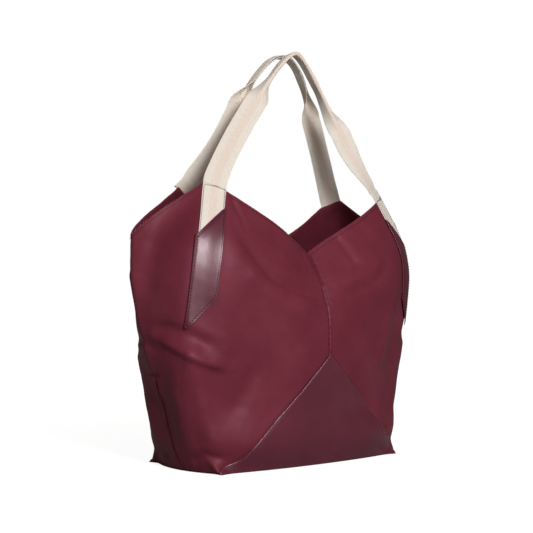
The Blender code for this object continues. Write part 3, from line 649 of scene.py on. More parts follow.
def lining_half(name, side):
    """Lining half: a slack sheet, wrinkled inwards, from the lining's floor to under the hem.

    The wrinkles are sums of waves that fade out towards the floor and the hem.
    """
    columns, rows = LINING_GRID
    runs = with_edges(0, AROUND / 2, *columns)[:, None]
    turns = turn_at(runs) * side
    top = rim_height(turns)
    hem = top - HEM_WIDTH
    height = LINING_FOOT + (hem + LINING_LAP - LINING_FOOT) * with_edges(0, 1, *rows)
    base = wall(turns, height / top)
    slack = smooth_step(0, LINING_FADE, hem - height) * smooth_step(0, LINING_FADE, height - LINING_FOOT)
    wrinkle = sum(size * (1 + waves(base, length, seed)) for size, length, seed in LINING_WAVES) * slack
    middle = -LINING_DEPTH - np.maximum(wrinkle, 0)
    half = LINING_THICKNESS / 2 * edge_round(from_seam(runs), LINING_ROUND)
    return half_sheet(name, side, runs, height, (middle + half, middle - half), LINING_FOOT)


def outline_points(turn, height, outset, eared):
    """The wall's outline at a height, moved out along its level normal, with whole ears or none."""
    ring = wall(turn, height / rim_height(turn))[..., :2]
    ahead = wall(turn + STEP, 0.0)[..., :2] - wall(turn - STEP, 0.0)[..., :2]
    outward = unit(np.stack([ahead[..., 1], -ahead[..., 0]], -1))
    drawn = eared * ear(turn, 0.0) - ear(turn, height)
    return ring + outset * outward + drawn[..., None] * unit(np.sign(ring))


def bottom_patch(height, outset, eared):
    """Coons patch between the outline's four sides: two ruled surfaces less the corners' bilinear one."""
    u, v = (with_edges(0, 1, *spacing) for spacing in BOTTOM_GRID)
    across = -CORNER + 2 * CORNER * u
    front = outline_points(across, height, outset, eared)
    back = outline_points(to_back(across), height, outset, eared)
    right = outline_points(CORNER + (2 - 2 * CORNER) * v, height, outset, eared)
    left = right * np.array([-1, 1])
    u, v = u[:, None, None], v[None, :, None]
    ruled = (1 - v) * front[:, None] + v * back[:, None] + (1 - u) * left[None] + u * right[None]
    corners = (1 - v) * ((1 - u) * front[0] + u * front[-1]) + v * ((1 - u) * back[0] + u * back[-1])
    return ruled - corners, u, v


def bottom_sheet(name, low, high, outset, eared, sag=0.0):
    """Flat sheet over the bottom outline with rounded edges, its upper side waved a little by the sag."""
    flat, u, v = bottom_patch(low, outset, eared)
    (_, end_strip), (_, side_strip) = BOTTOM_GRID
    edge = np.minimum(np.minimum(u, 1 - u) / end_strip, np.minimum(v, 1 - v) / side_strip)
    thick = edge_round(edge, 1.0) * (high - low) / 2
    places = np.concatenate([flat, np.zeros_like(edge)], -1)
    swell = sag * (1 + waves(places, SAG_LENGTH, SAG_SEED)[..., None]) / 2 * np.clip(edge / SAG_EDGES, 0, 1)
    up, middle = np.array([0, 0, 1]), (low + high) / 2
    return double_skin(name, places + up * (middle + thick + swell), places + up * (middle - thick), flat)


def triangle(name, back):
    """Leather triangle: the skin from the floor to the slanted edges, a little proud.

    Its faces are lifts from the skin that meet at its edges in quarter ellipses, with a bell-shaped swelling
    just inside them.
    """
    end = CORNER + TRIANGLE_OVERLAP
    turns = np.concatenate([np.linspace(-end, end, TRIANGLE_COLUMNS), [-TRIANGLE_CREASE, TRIANGLE_CREASE]])
    turns = np.sort(turns)[:, None]
    signed = to_back(turns) if back else turns
    edge = np.maximum(triangle_height(signed), TRIANGLE_LEAST)
    height = TRIANGLE_LOW + (edge - TRIANGLE_LOW) * with_edges(0, 1, *TRIANGLE_ROWS)
    inwards = (edge - height) * math.cos(math.atan2(BASE_PEAK, BASE_CORNER))
    rounding = 1
    for distance, radius in zip((inwards, end - share_of(signed), height - TRIANGLE_LOW), TRIANGLE_ROUND):
        rounding = rounding * edge_round(distance, radius)
    plump, plump_place, plump_width = TRIANGLE_PLUMP
    proud = TRIANGLE_OUTER + plump * bump(inwards - plump_place, plump_width)
    lifts = [TRIANGLE_MIDDLE + (side - TRIANGLE_MIDDLE) * rounding for side in (proud, TRIANGLE_INNER)]
    uv = np.stack([np.broadcast_to(run_of(turns), height.shape), height], -1)
    return double_skin(name, *skins(signed, height / rim_height(turns), *lifts), uv)


# Straps, tabs and handles

def on_strap(across_reach, down_reach):
    """Turn and level at a distance across the strap and down the wall from its crossing, by Newton steps."""
    across_reach, down_reach = np.broadcast_arrays(across_reach, down_reach)
    levels = np.linspace(1, 0, LEVEL_SAMPLES)
    level = np.interp(down_reach, travelled_on(wall(CORNER, levels)), levels)
    turn = np.full_like(level, CORNER)
    middle = wall(turn, level)
    by_turn, by_level = wall_slopes(turn, level)
    down = -unit(by_level)
    across = unit(by_turn - down * np.sum(by_turn * down, -1, keepdims=True))
    for _ in range(NEWTON_STEPS):
        by_turn, by_level = wall_slopes(turn, level)
        offset = wall(turn, level) - middle
        miss_across = across_reach - np.sum(offset * across, -1)
        miss_down = np.minimum(down_reach, 0) - np.sum(offset * down, -1)
        a, b = np.sum(by_turn * across, -1), np.sum(by_level * across, -1)
        c, d = np.sum(by_turn * down, -1), np.sum(by_level * down, -1)
        size = a * d - b * c
        turn = turn + (d * miss_across - b * miss_down) / size
        level = np.clip(level + (a * miss_down - c * miss_across) / size, 0, 1)
    return turn, level


def tab_down(across, share):
    """Distance down the strap for places on a tab, by the share from its upper to its lower end.

    The ends are slanted lines, whose sharp corners are cut back by a falling exponential.
    """
    u = across / (TAB_WIDTH / 2)
    (high_cut, high_width), (low_cut, low_width) = TAB_CUTS
    top = TAB_TOP + across * math.tan(TAB_SLANT)
    high = top + high_cut * np.exp(-(1 + u) / high_width)
    low = top + TAB_LENGTH - low_cut * np.exp(-(1 - u) / low_width)
    return high + (low - high) * share


def tab(name, right, front):
    """Leather tab over a sewn strap end: a rounded sheet laid on the skin, pressed in at its stitch row."""
    columns, rows = TAB_GRID
    across = with_edges(-TAB_WIDTH / 2, TAB_WIDTH / 2, *columns)[:, None]
    down = tab_down(across, with_edges(0, 1, *rows))
    to_side = TAB_WIDTH / 2 - np.abs(across)
    to_end = np.minimum(down - tab_down(across, 0), tab_down(across, 1) - down) * math.cos(TAB_SLANT)
    apart = np.minimum(to_side, to_end)
    rounding = edge_round(to_side, TAB_ROUND) * edge_round(to_end, TAB_ROUND)
    droop = TAB_DROOP * smooth_step(TAB_DROOP_FROM, TAB_WIDTH / 2, np.abs(across))
    plump = TAB_PLUMP * smooth_step(*TAB_PLUMP_FADE, apart)
    plump = plump - TAB_PRESSED * bump(apart - TAB_ROW, TAB_PRESSED_WIDTH)
    half = TAB_THICKNESS / 2
    middle = TAB_LIFT - droop + half
    turn, level = on_strap(across, down)
    placed = place_turn(turn, right, front)
    faces = skins(placed, level, middle + (half + plump) * rounding, middle - half * rounding)
    return double_skin(name, *faces, np.stack(np.broadcast_arrays(across, down), -1), right != front)


def handle_line(front):
    """Middle line of a handle, drawn as the front one, from left foot to right foot: two Beziers."""
    start = PEAK + way_out(STRAP_FACING) * (SEWN_LIFT + STRAP_THICKNESS / 2)
    share = np.linspace(0, 1, HANDLE_RINGS)
    share = share + HANDLE_SPACING * np.sin(math.pi * share) * (share - 1) * share
    branches = []
    for side in (-1, 1):
        angle, run, top_run = BRANCHES[front, side][:3]
        foot = start * np.array([side, 1, 1])
        rise = np.array([-side * math.cos(angle) * run, HANDLE_BEND_BACK, math.sin(angle) * run])
        pull = HANDLE_TOP + np.array([side * top_run, 0, 0])
        branches.append(bezier(foot, foot + rise, pull, HANDLE_TOP, share))
    return np.concatenate([branches[0], branches[1][-2::-1]])


def fold_profile(fold, reach):
    """Webbing's cross-section at each fold angle: an arc in the middle, straight halves beyond it."""
    bend = FOLD_RADIUS * math.pi / 2
    fold = np.maximum(fold, STEP)[:, None]
    heading = fold * np.clip(reach / bend, -1, 1)
    beyond = np.maximum(np.abs(reach) - bend, 0)
    across = bend / fold * np.sin(heading) + np.sign(reach) * beyond * np.cos(heading)
    inwards = bend / fold * (1 - np.cos(heading)) + beyond * np.sin(np.abs(heading))
    return across, inwards, np.sin(heading), -np.cos(heading)


def slide_to_cut(points, direction):
    """Moves points along a direction onto the plane of the crossing line and the way out."""
    middle, half = crossing()
    up = unit(np.cross(way_out(STRAP_FACING), half))
    return points + direction * (((middle - points) @ up) / (direction @ up))[..., None]


def handle_rings(reach, half, front):
    """A handle's webbing, ring by ring: flat and turned at its feet, folded in two over the grip.

    A ring is the folded cross-section, laid square to the middle line. Near a foot it is slid along the line
    onto the crossing of the rim.
    """
    line = handle_line(front)
    count = len(line) // 2
    travelled = travelled_on(line)
    tangent = unit(np.gradient(line, travelled, axis=0))
    to_top = np.abs(travelled - travelled[count])
    from_foot = np.minimum(travelled, travelled[-1] - travelled)
    side = np.where(np.arange(len(line)) < count, -1, 1)
    pairs = zip(BRANCHES[front, -1][3:], BRANCHES[front, 1][3:])
    neck, turned, whole, ease = (np.where(side < 0, left, right) for left, right in pairs)
    facing = STRAP_FACING + (neck - STRAP_FACING) * smooth_step(0, turned, from_foot)
    facing += (math.pi / 2 - neck) * (1 - smooth_step(whole - FACING_EASE, whole + ease, to_top))
    outward = np.stack([side * np.cos(facing), -np.sin(facing), np.zeros_like(facing)], -1)
    outward = unit(outward - tangent * np.sum(outward * tangent, -1, keepdims=True))
    across = np.cross(tangent, outward)
    fold = np.arccos(1 - FOLD_CLOSED * (1 - smooth_step(whole, whole + ease, to_top)))
    aside, inwards, aside_out, inwards_out = (part[..., None] for part in fold_profile(fold, reach))
    middle = line[:, None] + across[:, None] * aside - outward[:, None] * inwards
    thick = across[:, None] * aside_out - outward[:, None] * inwards_out
    slack = SLACK * waves(middle, SLACK_LENGTH, SLACK_SEED) * smooth_step(*SLACK_FADE, from_foot)[:, None]
    crease = CREASE * bump(from_foot - CREASE_PLACE, CREASE_WIDTH)[:, None]
    rings = middle + thick * (half + slack - crease)[..., None]
    for rows, mirror in ((np.arange(count), -1), (len(line) - 1 - np.arange(count), 1)):
        flip = np.array([mirror, 1, 1])
        first = rings[rows[0]] * flip
        shift = (slide_to_cut(first, tangent[rows[0]] * flip) - first) * flip
        rings[rows] += (1 - smooth_step(0, CROSSING_EASE, from_foot[rows]))[:, None, None] * shift
    return lean_over(rings * np.array([1, 1 if front else -1, 1])), travelled


def webbing(name, front):
    """One handle: the webbing from under one tab, over the rim, round the loop and down under the other.

    Its sewn ends are lifts from the skin and its loop is the rings, joined into one grid.
    """
    edge, round_edge = STRAP_WIDTH / 2, STRAP_THICKNESS / 2
    reach = with_edges(-edge, edge, WEBBING_COLUMNS, round_edge)
    half = round_edge * edge_round(edge - np.abs(reach), round_edge)
    _, cross_half = crossing()
    down_way = -unit(wall_slopes(np.array([CORNER]), np.array([1.0]))[1][0])
    rise = cross_half @ down_way / np.linalg.norm(cross_half - down_way * (cross_half @ down_way))
    first = -reach * rise
    last = TAB_TOP - reach * math.tan(TAB_SLANT) + TAB_LENGTH - STRAP_HIDDEN
    # The sewn rings start just below the rim, and two without thickness close the hidden end
    share = np.concatenate([np.linspace(0.004, 1, SEWN_RINGS), [1, 1]])[:, None]
    down = first + (last - first) * share
    half_sewn = half * (np.arange(len(share)) < SEWN_RINGS)[:, None]
    turn, level = on_strap(-reach, down)
    left_turn, right_turn = (place_turn(turn, right, front) for right in (False, True))
    grids = []
    for sign in (1, -1):
        rings, travelled = handle_rings(reach, sign * half, front)
        lift = SEWN_LIFT + round_edge + sign * half_sewn
        left, right = skins(left_turn, level, lift) + skins(right_turn, level, lift)
        grids.append(np.concatenate([left[::-1], rings, right]))
    along = np.concatenate([-down[::-1].mean(1), travelled, travelled[-1] + down.mean(1)])
    uv = np.stack(np.broadcast_arrays(reach[None, :], along[:, None]), -1)
    return double_skin(name, *grids, uv, not front)


# Stitches

def evenly(line, pitch):
    """Points at an even pitch along a line, the line's direction there, and their shares of the way."""
    travelled = travelled_on(line)
    count = max(int(travelled[-1] / pitch), 2)
    at = (np.arange(count) + 0.5) * travelled[-1] / count
    points = np.stack([np.interp(at, travelled, values) for values in line.T], -1)
    ways = np.stack([np.interp(at, travelled, np.gradient(values, travelled)) for values in line.T], -1)
    return points, unit(ways), at / travelled[-1]


def stitch_template():
    """Unit stitch: four six-sided rings along its length, closed with a point at each end."""
    angle = np.arange(6) * math.pi / 3
    profile = ((-0.86, 0.6), (-0.5, 1), (0.5, 1), (0.86, 0.6))
    rings = [(x, radius * np.cos(a), radius * np.sin(a)) for x, radius in profile for a in angle]
    points = np.array([(-1, 0, -0.4), *rings, (1, 0, -0.4)])
    sides = [(k, (k + 1) % 6) for k in range(6)]
    faces = [(0, 1 + after, 1 + k) for k, after in sides]
    faces += [(ring + k, ring + after, ring + 6 + after, ring + 6 + k)
              for ring in (1, 7, 13) for k, after in sides]
    return points, faces + [(25, 19 + k, 19 + after) for k, after in sides]


def sew(name, rows, thread, length, pitch):
    """Rows of stitches as one mesh: the template laid along each line, its own height along the normal."""
    template, faces = stitch_template()
    centres, ways, normals = [], [], []
    for line, normal in rows:
        points, way, at = evenly(line, pitch)
        share = np.linspace(0, 1, len(normal))
        centres.append(points)
        ways.append(way)
        normals.append(unit(np.stack([np.interp(at, share, values) for values in normal.T], -1)))
    centres, ways, normals = (np.concatenate(part)[:, None] for part in (centres, ways, normals))
    sides = unit(np.cross(normals, ways))
    x, y, z = (template * np.array([length / 2, thread, thread])).T[..., None]
    points = centres + x * np.cross(sides, normals) + y * sides + z * normals
    shift = np.arange(len(centres))[:, None] * len(template)
    listed = [row for face in faces for row in np.array(face) + shift]
    uv = np.tile(template[:, :2] * np.array([length / 2, thread]), (len(centres), 1))
    return add_mesh(name, points.reshape(-1, 3), listed, uv)


def skin_row(turn, level, lift, flip=1):
    """A line laid on the skin, with its outward directions."""
    low, high = skins(turn, level, lift, lift + NORMAL_STEP)
    return low, unit(high - low) * flip


def hem_rows(lift, outer):
    """The hem's stitch row on both halves. The outer one leaves out the straps."""
    rows = []
    for side in (1, -1):
        turns = turn_at(np.linspace(ROW_END, AROUND / 2 - ROW_END, HEM_POINTS)) * side
        share = share_of(turns)
        level = 1 - HEM_STITCH / rim_height(turns)
        clear = (share < STRAP_IN - STRAP_CLEAR) | (share > STRAP_OUT + STRAP_CLEAR) | (not outer)
        edges = np.flatnonzero(np.diff(np.concatenate([[False], clear, [False]]).astype(int)))
        for start, stop in zip(edges[::2], edges[1::2]):
            rows.append(skin_row(turns[start:stop], level[start:stop], lift, 1 if outer else -1))
    return rows


def strap_row(across, down, lift, right, front):
    """A line laid over a strap, with its outward directions."""
    turn, level = on_strap(across, down)
    return skin_row(place_turn(turn, right, front), level, lift)


def tab_rows(right, front):
    """Stitch row round a tab, about 3 mm in from its edge, and a second one along its upper end."""
    edge = TAB_WIDTH / 2 - TAB_ROW
    margin = TAB_ROW / math.cos(TAB_SLANT)
    across = np.linspace(-edge, edge, STRAP_POINTS)
    rows = []
    for share, offset in ((0, margin), (0, margin + TAB_SECOND_ROW), (1, -margin)):
        rows.append(strap_row(across, tab_down(across, share) + offset, TAB_END_LIFT, right, front))
    for place in (-edge, edge):
        down = np.linspace(tab_down(place, 0) + margin, tab_down(place, 1) - margin, TAB_SIDE_POINTS)
        rows.append(strap_row(place, down, TAB_SIDE_LIFT, right, front))
    return rows


def strap_rows(right, front):
    """Stitch rows down both edges of the bare webbing, and along its crossing of the rim."""
    edge, end = STRAP_WIDTH / 2 - STRAP_ROW, STRAP_WIDTH / 2 - SHORT_END
    rows = []
    for place in (-edge, edge):
        down = np.linspace(ROW_END, TAB_TOP + place * math.tan(TAB_SLANT) - SHORT_END, STRAP_POINTS)
        rows.append(strap_row(place, down, STRAP_LIFT, right, front))
    across = np.linspace(-end, end, CROSSING_POINTS)
    return rows + [strap_row(across, CROSSING_ROW, STRAP_LIFT, right, front)]


def seam_rows():
    """Two rows beside the middle seam at front and back, from the triangle's peak to the rim."""
    height = np.linspace(BASE_PEAK + SHORT_END, NOTCH[2] - ROW_END, SEAM_POINTS)
    turns = [place_turn(turn_at(SEAM_ROW), *quarter) for quarter in QUARTERS]
    return [skin_row(turn, height / rim_height(turn), ROW_LIFT) for turn in turns]


def triangle_rows():
    """One row inside each slanted edge of the leather triangles."""
    rows = []
    for quarter in QUARTERS:
        runs = np.linspace(TRIANGLE_START, run_of(CORNER) - ROW_END, TRIANGLE_POINTS)
        turns = place_turn(turn_at(runs), *quarter)
        height = triangle_height(turns) - TRIANGLE_ROW
        keep = height > TRIANGLE_ROW_LOWEST
        rows.append(skin_row(turns[keep], (height / rim_height(turns))[keep], TRIANGLE_LIFT))
    return rows


def dart_rows():
    """One row beside each side dart."""
    rows = []
    for line in (DART, over(DART)):
        turn, level = np.array(line[1:]).T
        share, at = np.linspace(0, 1, SEAM_POINTS), np.linspace(0, 1, len(turn))
        beside = np.interp(share, at, turn) - DART_ROW * np.sign(turn[0])
        rows.append(skin_row(beside, np.interp(share, at, level), 0.0))
    return rows


# Materials

def linear(code):
    """Linear colour of a six-digit sRGB code, opaque."""
    values = np.array([int(code[k : k + 2], 16) for k in (0, 2, 4)]) / 255
    return (*np.where(values <= 0.04045, values / 12.92, ((values + 0.055) / 1.055) ** 2.4), 1)


def new_material(name, colour, roughness, **sockets):
    """Principled material with its plain values set, its node tree and its shader's inputs."""
    material = bpy.data.materials.new(name)
    material.use_nodes = True
    inputs = material.node_tree.nodes["Principled BSDF"].inputs
    inputs["Base Color"].default_value = linear(colour)
    inputs["Roughness"].default_value = roughness
    for socket, value in sockets.items():
        inputs[socket.replace("_", " ")].default_value = value
    return material, material.node_tree, inputs


def add(tree, kind, links=(), **settings):
    """A node with settings by attribute, and inputs linked or set by name or number."""
    node = tree.nodes.new(kind)
    for key, value in settings.items():
        setattr(node, key, value)
    for key, value in dict(links).items():
        if isinstance(value, bpy.types.NodeSocket):
            tree.links.new(value, node.inputs[key])
        else:
            node.inputs[key].default_value = value
    return node


def coordinates(tree, scale, uv):
    """Vector of the piece's own UV map, or of its Object coordinates, scaled."""
    if uv:
        source = add(tree, "ShaderNodeUVMap", uv_map="cloth").outputs[0]
    else:
        source = add(tree, "ShaderNodeTexCoord").outputs["Object"]
    return add(tree, "ShaderNodeMapping", {"Vector": source, "Scale": scale}).outputs[0]


def noise(tree, scale, detail=2.0, uv=False):
    """Noise value, with its scale in waves to the metre."""
    vector = coordinates(tree, scale if isinstance(scale, tuple) else (scale,) * 3, uv)
    return add(tree, "ShaderNodeTexNoise", {"Vector": vector, "Scale": 1.0, "Detail": detail}).outputs[0]


def ramp(tree, value, *stops):
    """Colour ramp with stops of place and sRGB code."""
    node = add(tree, "ShaderNodeValToRGB", {0: value})
    elements = node.color_ramp.elements
    while len(elements) < len(stops):
        elements.new(0.5)
    for element, (place, code) in zip(elements, stops):
        element.position = place
        element.color = linear(code)
    return node.outputs[0]


def math_node(tree, operation, first, second=0.5):
    """One arithmetic step."""
    return add(tree, "ShaderNodeMath", {0: first, 1: second}, operation=operation).outputs[0]


def span(tree, value, low, high):
    """The value's 0 to 1 carried to low to high."""
    return add(tree, "ShaderNodeMapRange", {"Value": value, "To Min": low, "To Max": high}).outputs[0]


def mix(tree, share, first, second):
    """Colour between two by the share."""
    return add(tree, "ShaderNodeMix", {0: share, 6: first, 7: second}, data_type="RGBA").outputs[2]


def wave(tree, period, axis, turn=0.0):
    """Sine of a period in metres across the UV map's axis, from 0 to 1."""
    uv = add(tree, "ShaderNodeUVMap", uv_map="cloth").outputs[0]
    vector = add(tree, "ShaderNodeMapping", {"Vector": uv, "Rotation": (0, 0, turn)}).outputs[0]
    links = {"Vector": vector, "Scale": 2 * math.pi / 20 / period}
    return add(tree, "ShaderNodeTexWave", links, bands_direction=axis).outputs["Fac"]


def weave(tree, period):
    """Plain weave height: the product of a sine across and one along, both from -1 to 1."""
    across = math_node(tree, "SUBTRACT", wave(tree, period, "X"))
    along = math_node(tree, "SUBTRACT", wave(tree, period, "Y"))
    return math_node(tree, "MULTIPLY", math_node(tree, "MULTIPLY", across, along), 4.0)


def dress(tree, inputs, colour, *layers):
    """Links the colour and a chain of bumps: each layer is a height, a distance in metres and a strength."""
    tree.links.new(colour, inputs["Base Color"])
    normal = None
    for height, distance, strength in layers:
        links = {"Height": height, "Distance": distance, "Strength": strength}
        if normal is not None:
            links["Normal"] = normal
        normal = add(tree, "ShaderNodeBump", links).outputs[0]
    tree.links.new(normal, inputs["Normal"])


THREAD_TINT, CLOTH_SHEEN = (1.0, 0.62, 0.70, 1), (0.75, 0.25, 0.34, 1)


def nylon_material():
    """Satin nylon: fine plain weave, slow mottling and crinkle, a soft sheen."""
    material, tree, inputs = new_material(
        "satin_nylon", "6d2b38", 0.45, Sheen_Weight=0.06, Sheen_Roughness=0.4, Sheen_Tint=CLOTH_SHEEN,
        Specular_IOR_Level=0.22, Specular_Tint=(1.0, 0.56, 0.65, 1)
    )
    cloud = math_node(tree, "MULTIPLY", noise(tree, 14.0, 3.0), 0.7)
    thread = math_node(tree, "MULTIPLY", noise(tree, (90.0, 1500.0, 1.0), 2.0, uv=True), 0.3)
    mixed = math_node(tree, "ADD", cloud, thread)
    tree.links.new(span(tree, noise(tree, 26.0), 0.38, 0.50), inputs["Roughness"])
    dress(tree, inputs, ramp(tree, mixed, (0.30, "652632"), (0.50, "6d2b38"), (0.72, "77333f")),
          (noise(tree, 75.0, 4.0), 0.0006, 0.35), (weave(tree, 0.00055), 0.00003, 0.5))
    return material


def leather_material():
    """Smooth calf leather: pebbled fine grain, pores, slow colour change and a soft polish."""
    material, tree, inputs = new_material(
        "fine_leather", "5d1e2e", 0.32, Coat_Weight=0.44, Coat_Roughness=0.41, Specular_IOR_Level=0.50,
        Specular_Tint=(1.0, 0.86, 0.92, 1)
    )
    tree.links.new(span(tree, noise(tree, 120.0, 3.0), 0.26, 0.38), inputs["Roughness"])
    links = {"Vector": coordinates(tree, (1.0,) * 3, False), "Scale": 950.0}
    cells = add(tree, "ShaderNodeTexVoronoi", links, feature="DISTANCE_TO_EDGE").outputs[0]
    tint = ramp(tree, noise(tree, 18.0, 3.0), (0.30, "5a1f2f"), (0.52, "5f2132"), (0.75, "642537"))
    grain = math_node(tree, "MINIMUM", cells, 0.25)
    dress(tree, inputs, tint, (noise(tree, 60.0), 0.0004, 0.25), (grain, 0.00025, 0.5),
          (noise(tree, 2600.0), 0.00004, 0.5))
    return material


def webbing_material():
    """Cotton webbing: ribs across, fine cords along, flecks and a warmer band down the middle."""
    material, tree, inputs = new_material(
        "cotton_webbing", "ede3d7", 0.88, Sheen_Weight=0.25, Sheen_Roughness=0.5, Specular_IOR_Level=0.25
    )
    uv = add(tree, "ShaderNodeUVMap", uv_map="cloth").outputs[0]
    place = add(tree, "ShaderNodeSeparateXYZ", {0: uv}).outputs[0]
    links = {"Value": math_node(tree, "ABSOLUTE", place), "From Min": 0.0075, "From Max": 0.0060}
    band = add(tree, "ShaderNodeMapRange", links).outputs[0]
    fleck = noise(tree, (500.0, 160.0, 1.0), 3.0, uv=True)
    plain = ramp(tree, fleck, (0.30, "e6dccf"), (0.70, "f3ebdf"))
    warm = ramp(tree, fleck, (0.30, "e6d5c7"), (0.70, "f1e3d6"))
    rib = wave(tree, 0.0011, "Y")
    shade = mix(tree, span(tree, rib, 0.0, 0.16), mix(tree, band, plain, warm), linear("cdbfae"))
    cords = weave(tree, 0.0009)
    dress(tree, inputs, shade, (rib, 0.00012, 0.6), (cords, 0.00010, 0.6), (fleck, 0.00015, 0.4))
    return material


def thread_material(name, light, painted_groove_shade):
    """Twisted polyester thread: slanted plies along each stitch, with painted shade darkening the grooves
    between them.
    """
    material, tree, inputs = new_material(
        name, light, 0.6, Specular_IOR_Level=0.15, Specular_Tint=THREAD_TINT
    )
    plies = wave(tree, 0.0006, "X", 0.9)
    # Painted shade: the ramp gives the low grooves between the plies the darker colour
    dress(tree, inputs, ramp(tree, plies, (0.15, painted_groove_shade), (0.6, light)), (plies, 0.00008, 0.6))
    return material


def lining_material():
    """Matt twill lining: diagonal fine ribs and faint mottling."""
    material, tree, inputs = new_material(
        "matt_lining", "5c202d", 0.66, Sheen_Weight=0.10, Sheen_Tint=CLOTH_SHEEN,
        Specular_IOR_Level=0.2, Specular_Tint=THREAD_TINT
    )
    dress(tree, inputs, ramp(tree, noise(tree, 20.0, 3.0), (0.3, "561c29"), (0.7, "662433")),
          (noise(tree, 70.0, 3.0), 0.0005, 0.3), (wave(tree, 0.0007, "X", 0.785), 0.00006, 0.5))
    return material


def board_material():
    """Pressed fibre board: grey flecks and a rough, fibrous face."""
    material, tree, inputs = new_material("fibre_board", "4a4643", 0.85)
    fleck = noise(tree, 420.0, 4.0)
    dress(tree, inputs, ramp(tree, fleck, (0.35, "3c3936"), (0.65, "5b5651")), (fleck, 0.0003, 0.5))
    return material


# Stage: lamps with azimuth from the front, elevation, width, height and watts, all facing the bag's middle
LAMP_DISTANCE, BAG_MIDDLE = 3.0, 0.33
LAMPS = (
    ("key", -15, 23, 0.8, 0.8, 60),
    ("gloss", -22, 12, 1.1, 1.5, 17),
    ("side", -105, 0, 1.6, 1.6, 3),
    ("back", 165, 30, 1.6, 1.6, 30),
)
CAMERA_PLACE, CAMERA_LENS = (-1.2375, -1.4530, 0.2659), 73.86
CAMERA_TURN = (math.pi / 2 + 0.0347, 0, math.radians(-40.42) + 0.0101)
FLOOR_HALF, FLOOR_DROP, FLOOR_GREY = 30, 0.0002, 0.34


def place_object(name, data, location, rotation):
    """Object for a lamp or the camera."""
    obj = bpy.data.objects.new(name, data)
    obj.location, obj.rotation_euler = location, rotation
    bpy.context.scene.collection.objects.link(obj)
    return obj


def add_lamp(name, azimuth, elevation, width, height, power):
    """Rectangular area lamp."""
    lamp = bpy.data.lights.new(name, "AREA")
    lamp.shape, lamp.size, lamp.size_y, lamp.energy = "RECTANGLE", width, height, power
    az, el = math.radians(azimuth), math.radians(elevation)
    out, rise = LAMP_DISTANCE * math.cos(el), LAMP_DISTANCE * math.sin(el)
    place = (out * math.sin(az), -out * math.cos(az), BAG_MIDDLE + rise)
    place_object(name, lamp, place, (math.pi / 2 - el, 0, az))


def add_floor():
    """Pale floor that keeps the bag's shadow: a grey that takes light, and a glow for the camera alone."""
    corners = np.array([(-1, -1, 0), (1, -1, 0), (1, 1, 0), (-1, 1, 0)]) * FLOOR_HALF
    floor = add_mesh("floor", corners - [0, 0, FLOOR_DROP], np.array([[0, 1, 2, 3]]))
    material = bpy.data.materials.new("pale_floor")
    material.use_nodes = True
    tree = material.node_tree
    tree.nodes.clear()
    diffuse = add(tree, "ShaderNodeBsdfDiffuse", {"Color": (FLOOR_GREY,) * 3 + (1,)})
    place = add(tree, "ShaderNodeTexCoord").outputs["Object"]
    apart = add(tree, "ShaderNodeVectorMath", {0: place}, operation="LENGTH").outputs["Value"]
    links = {"Value": apart, "From Min": 0.7, "From Max": 3.0, "To Min": 0.88, "To Max": 0.99}
    even = add(tree, "ShaderNodeMapRange", links, interpolation_type="SMOOTHSTEP")
    seen = add(tree, "ShaderNodeLightPath").outputs["Is Camera Ray"]
    glow = add(tree, "ShaderNodeEmission", {"Color": even.outputs[0], "Strength": seen})
    both = add(tree, "ShaderNodeAddShader", {0: diffuse.outputs[0], 1: glow.outputs[0]})
    add(tree, "ShaderNodeOutputMaterial", {"Surface": both.outputs[0]})
    floor.data.materials.append(material)


def add_world():
    """White background for the camera, a faint warm light for everything else."""
    world = bpy.data.worlds.new("studio")
    world.use_nodes = True
    tree = world.node_tree
    seen = add(tree, "ShaderNodeLightPath").outputs["Is Camera Ray"]
    background = tree.nodes["Background"]
    tree.links.new(mix(tree, seen, (1.0, 0.74, 0.66, 1), (1, 1, 1, 1)), background.inputs["Color"])
    tree.links.new(span(tree, seen, 0.10, 1.0), background.inputs["Strength"])
    bpy.context.scene.world = world


def stage():
    """Floor, background, lamps and the camera at the photo's place."""
    add_floor()
    add_world()
    for lamp in LAMPS:
        add_lamp(*lamp)
    camera = bpy.data.cameras.new("camera")
    camera.lens, camera.sensor_width, camera.clip_end = CAMERA_LENS, 36, 30
    bpy.context.scene.camera = place_object("camera", camera, CAMERA_PLACE, CAMERA_TURN)
    bpy.context.scene.view_settings.view_transform = "Standard"


def finish_piece(obj, material, body="bag_body", nodes=()):
    """Gives a piece its material, slot and body, and the solids that it stands for."""
    obj.data.materials.append(material)
    if nodes:
        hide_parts(*nodes)
    if body:
        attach(obj, body)


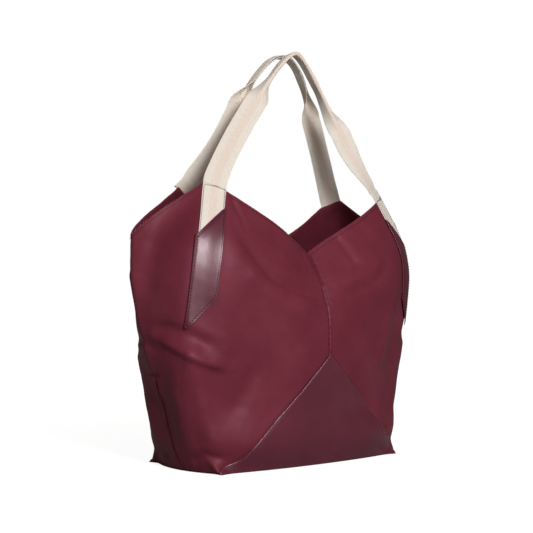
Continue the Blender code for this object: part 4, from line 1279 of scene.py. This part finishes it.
def main():
    """The stage, then every visible piece."""
    nylon, leather = nylon_material(), leather_material()
    cotton, lining = webbing_material(), lining_material()
    seam_thread = thread_material("seam_thread", "561123", "340a15")
    tab_thread = thread_material("tab_thread", "3e0f1e", "260812")
    edge_thread = thread_material("edge_thread", "8f6570", "55303b")
    stage()
    for name, side in (("right", 1), ("left", -1)):
        finish_piece(body_half(f"{name}_nylon_half", side), nylon, nodes=(f"{name}_body_panel",))
        finish_piece(lining_half(f"{name}_lining_half", side), lining, nodes=(f"{name}_lining",))
    bottom = bottom_sheet("leather_bottom", 0.0, LEATHER_THICKNESS, LEATHER_OUTSET, True)
    finish_piece(bottom, leather, nodes=("leather_base",))
    for name, back in (("front_leather_triangle", False), ("back_leather_triangle", True)):
        finish_piece(triangle(name, back), leather)
    floor = bottom_sheet("lining_bottom", *LINING_FLOOR, LINING_INSET, False, LINING_SAG)
    finish_piece(floor, lining, nodes=("lining_floor",))
    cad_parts["base_board"].material_slots[0].material = board_material()
    tab_stitches, strap_stitches = [], []
    for right, front in QUARTERS:
        place = f"{'front' if front else 'back'}_{'right' if right else 'left'}"
        finish_piece(tab(f"{place}_tab", right, front), leather, nodes=(f"{place}_leather_tab",))
        tab_stitches += tab_rows(right, front)
        strap_stitches += strap_rows(right, front)
    outer_stitches = hem_rows(ROW_LIFT, True) + seam_rows() + dart_rows()
    for name, rows, size, thread, slot in (
        ("tab_stitches", tab_stitches, TAB_STITCH, tab_thread, "leather"),
        ("strap_stitches", strap_stitches, STRAP_STITCH, seam_thread, "webbing"),
        ("outer_seam_stitches", outer_stitches, SEAM_STITCH, seam_thread, "nylon"),
        ("inner_hem_stitches", hem_rows(HEM_INNER_LIFT, False), HEM_INNER_STITCH, seam_thread, "nylon"),
        ("triangle_stitches", triangle_rows(), TRIANGLE_STITCH, edge_thread, "leather"),
    ):
        finish_piece(sew(name, rows, *size), thread)
    for name, front, y in (("front", True, -HANDLE_Y), ("back", False, HANDLE_Y)):
        piece = webbing(f"{name}_webbing_handle", front)
        nodes = (f"{name}_handle", f"{name}_left_strap_end", f"{name}_right_strap_end")
        finish_piece(piece, cotton, None, nodes)
        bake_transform(piece)


main()
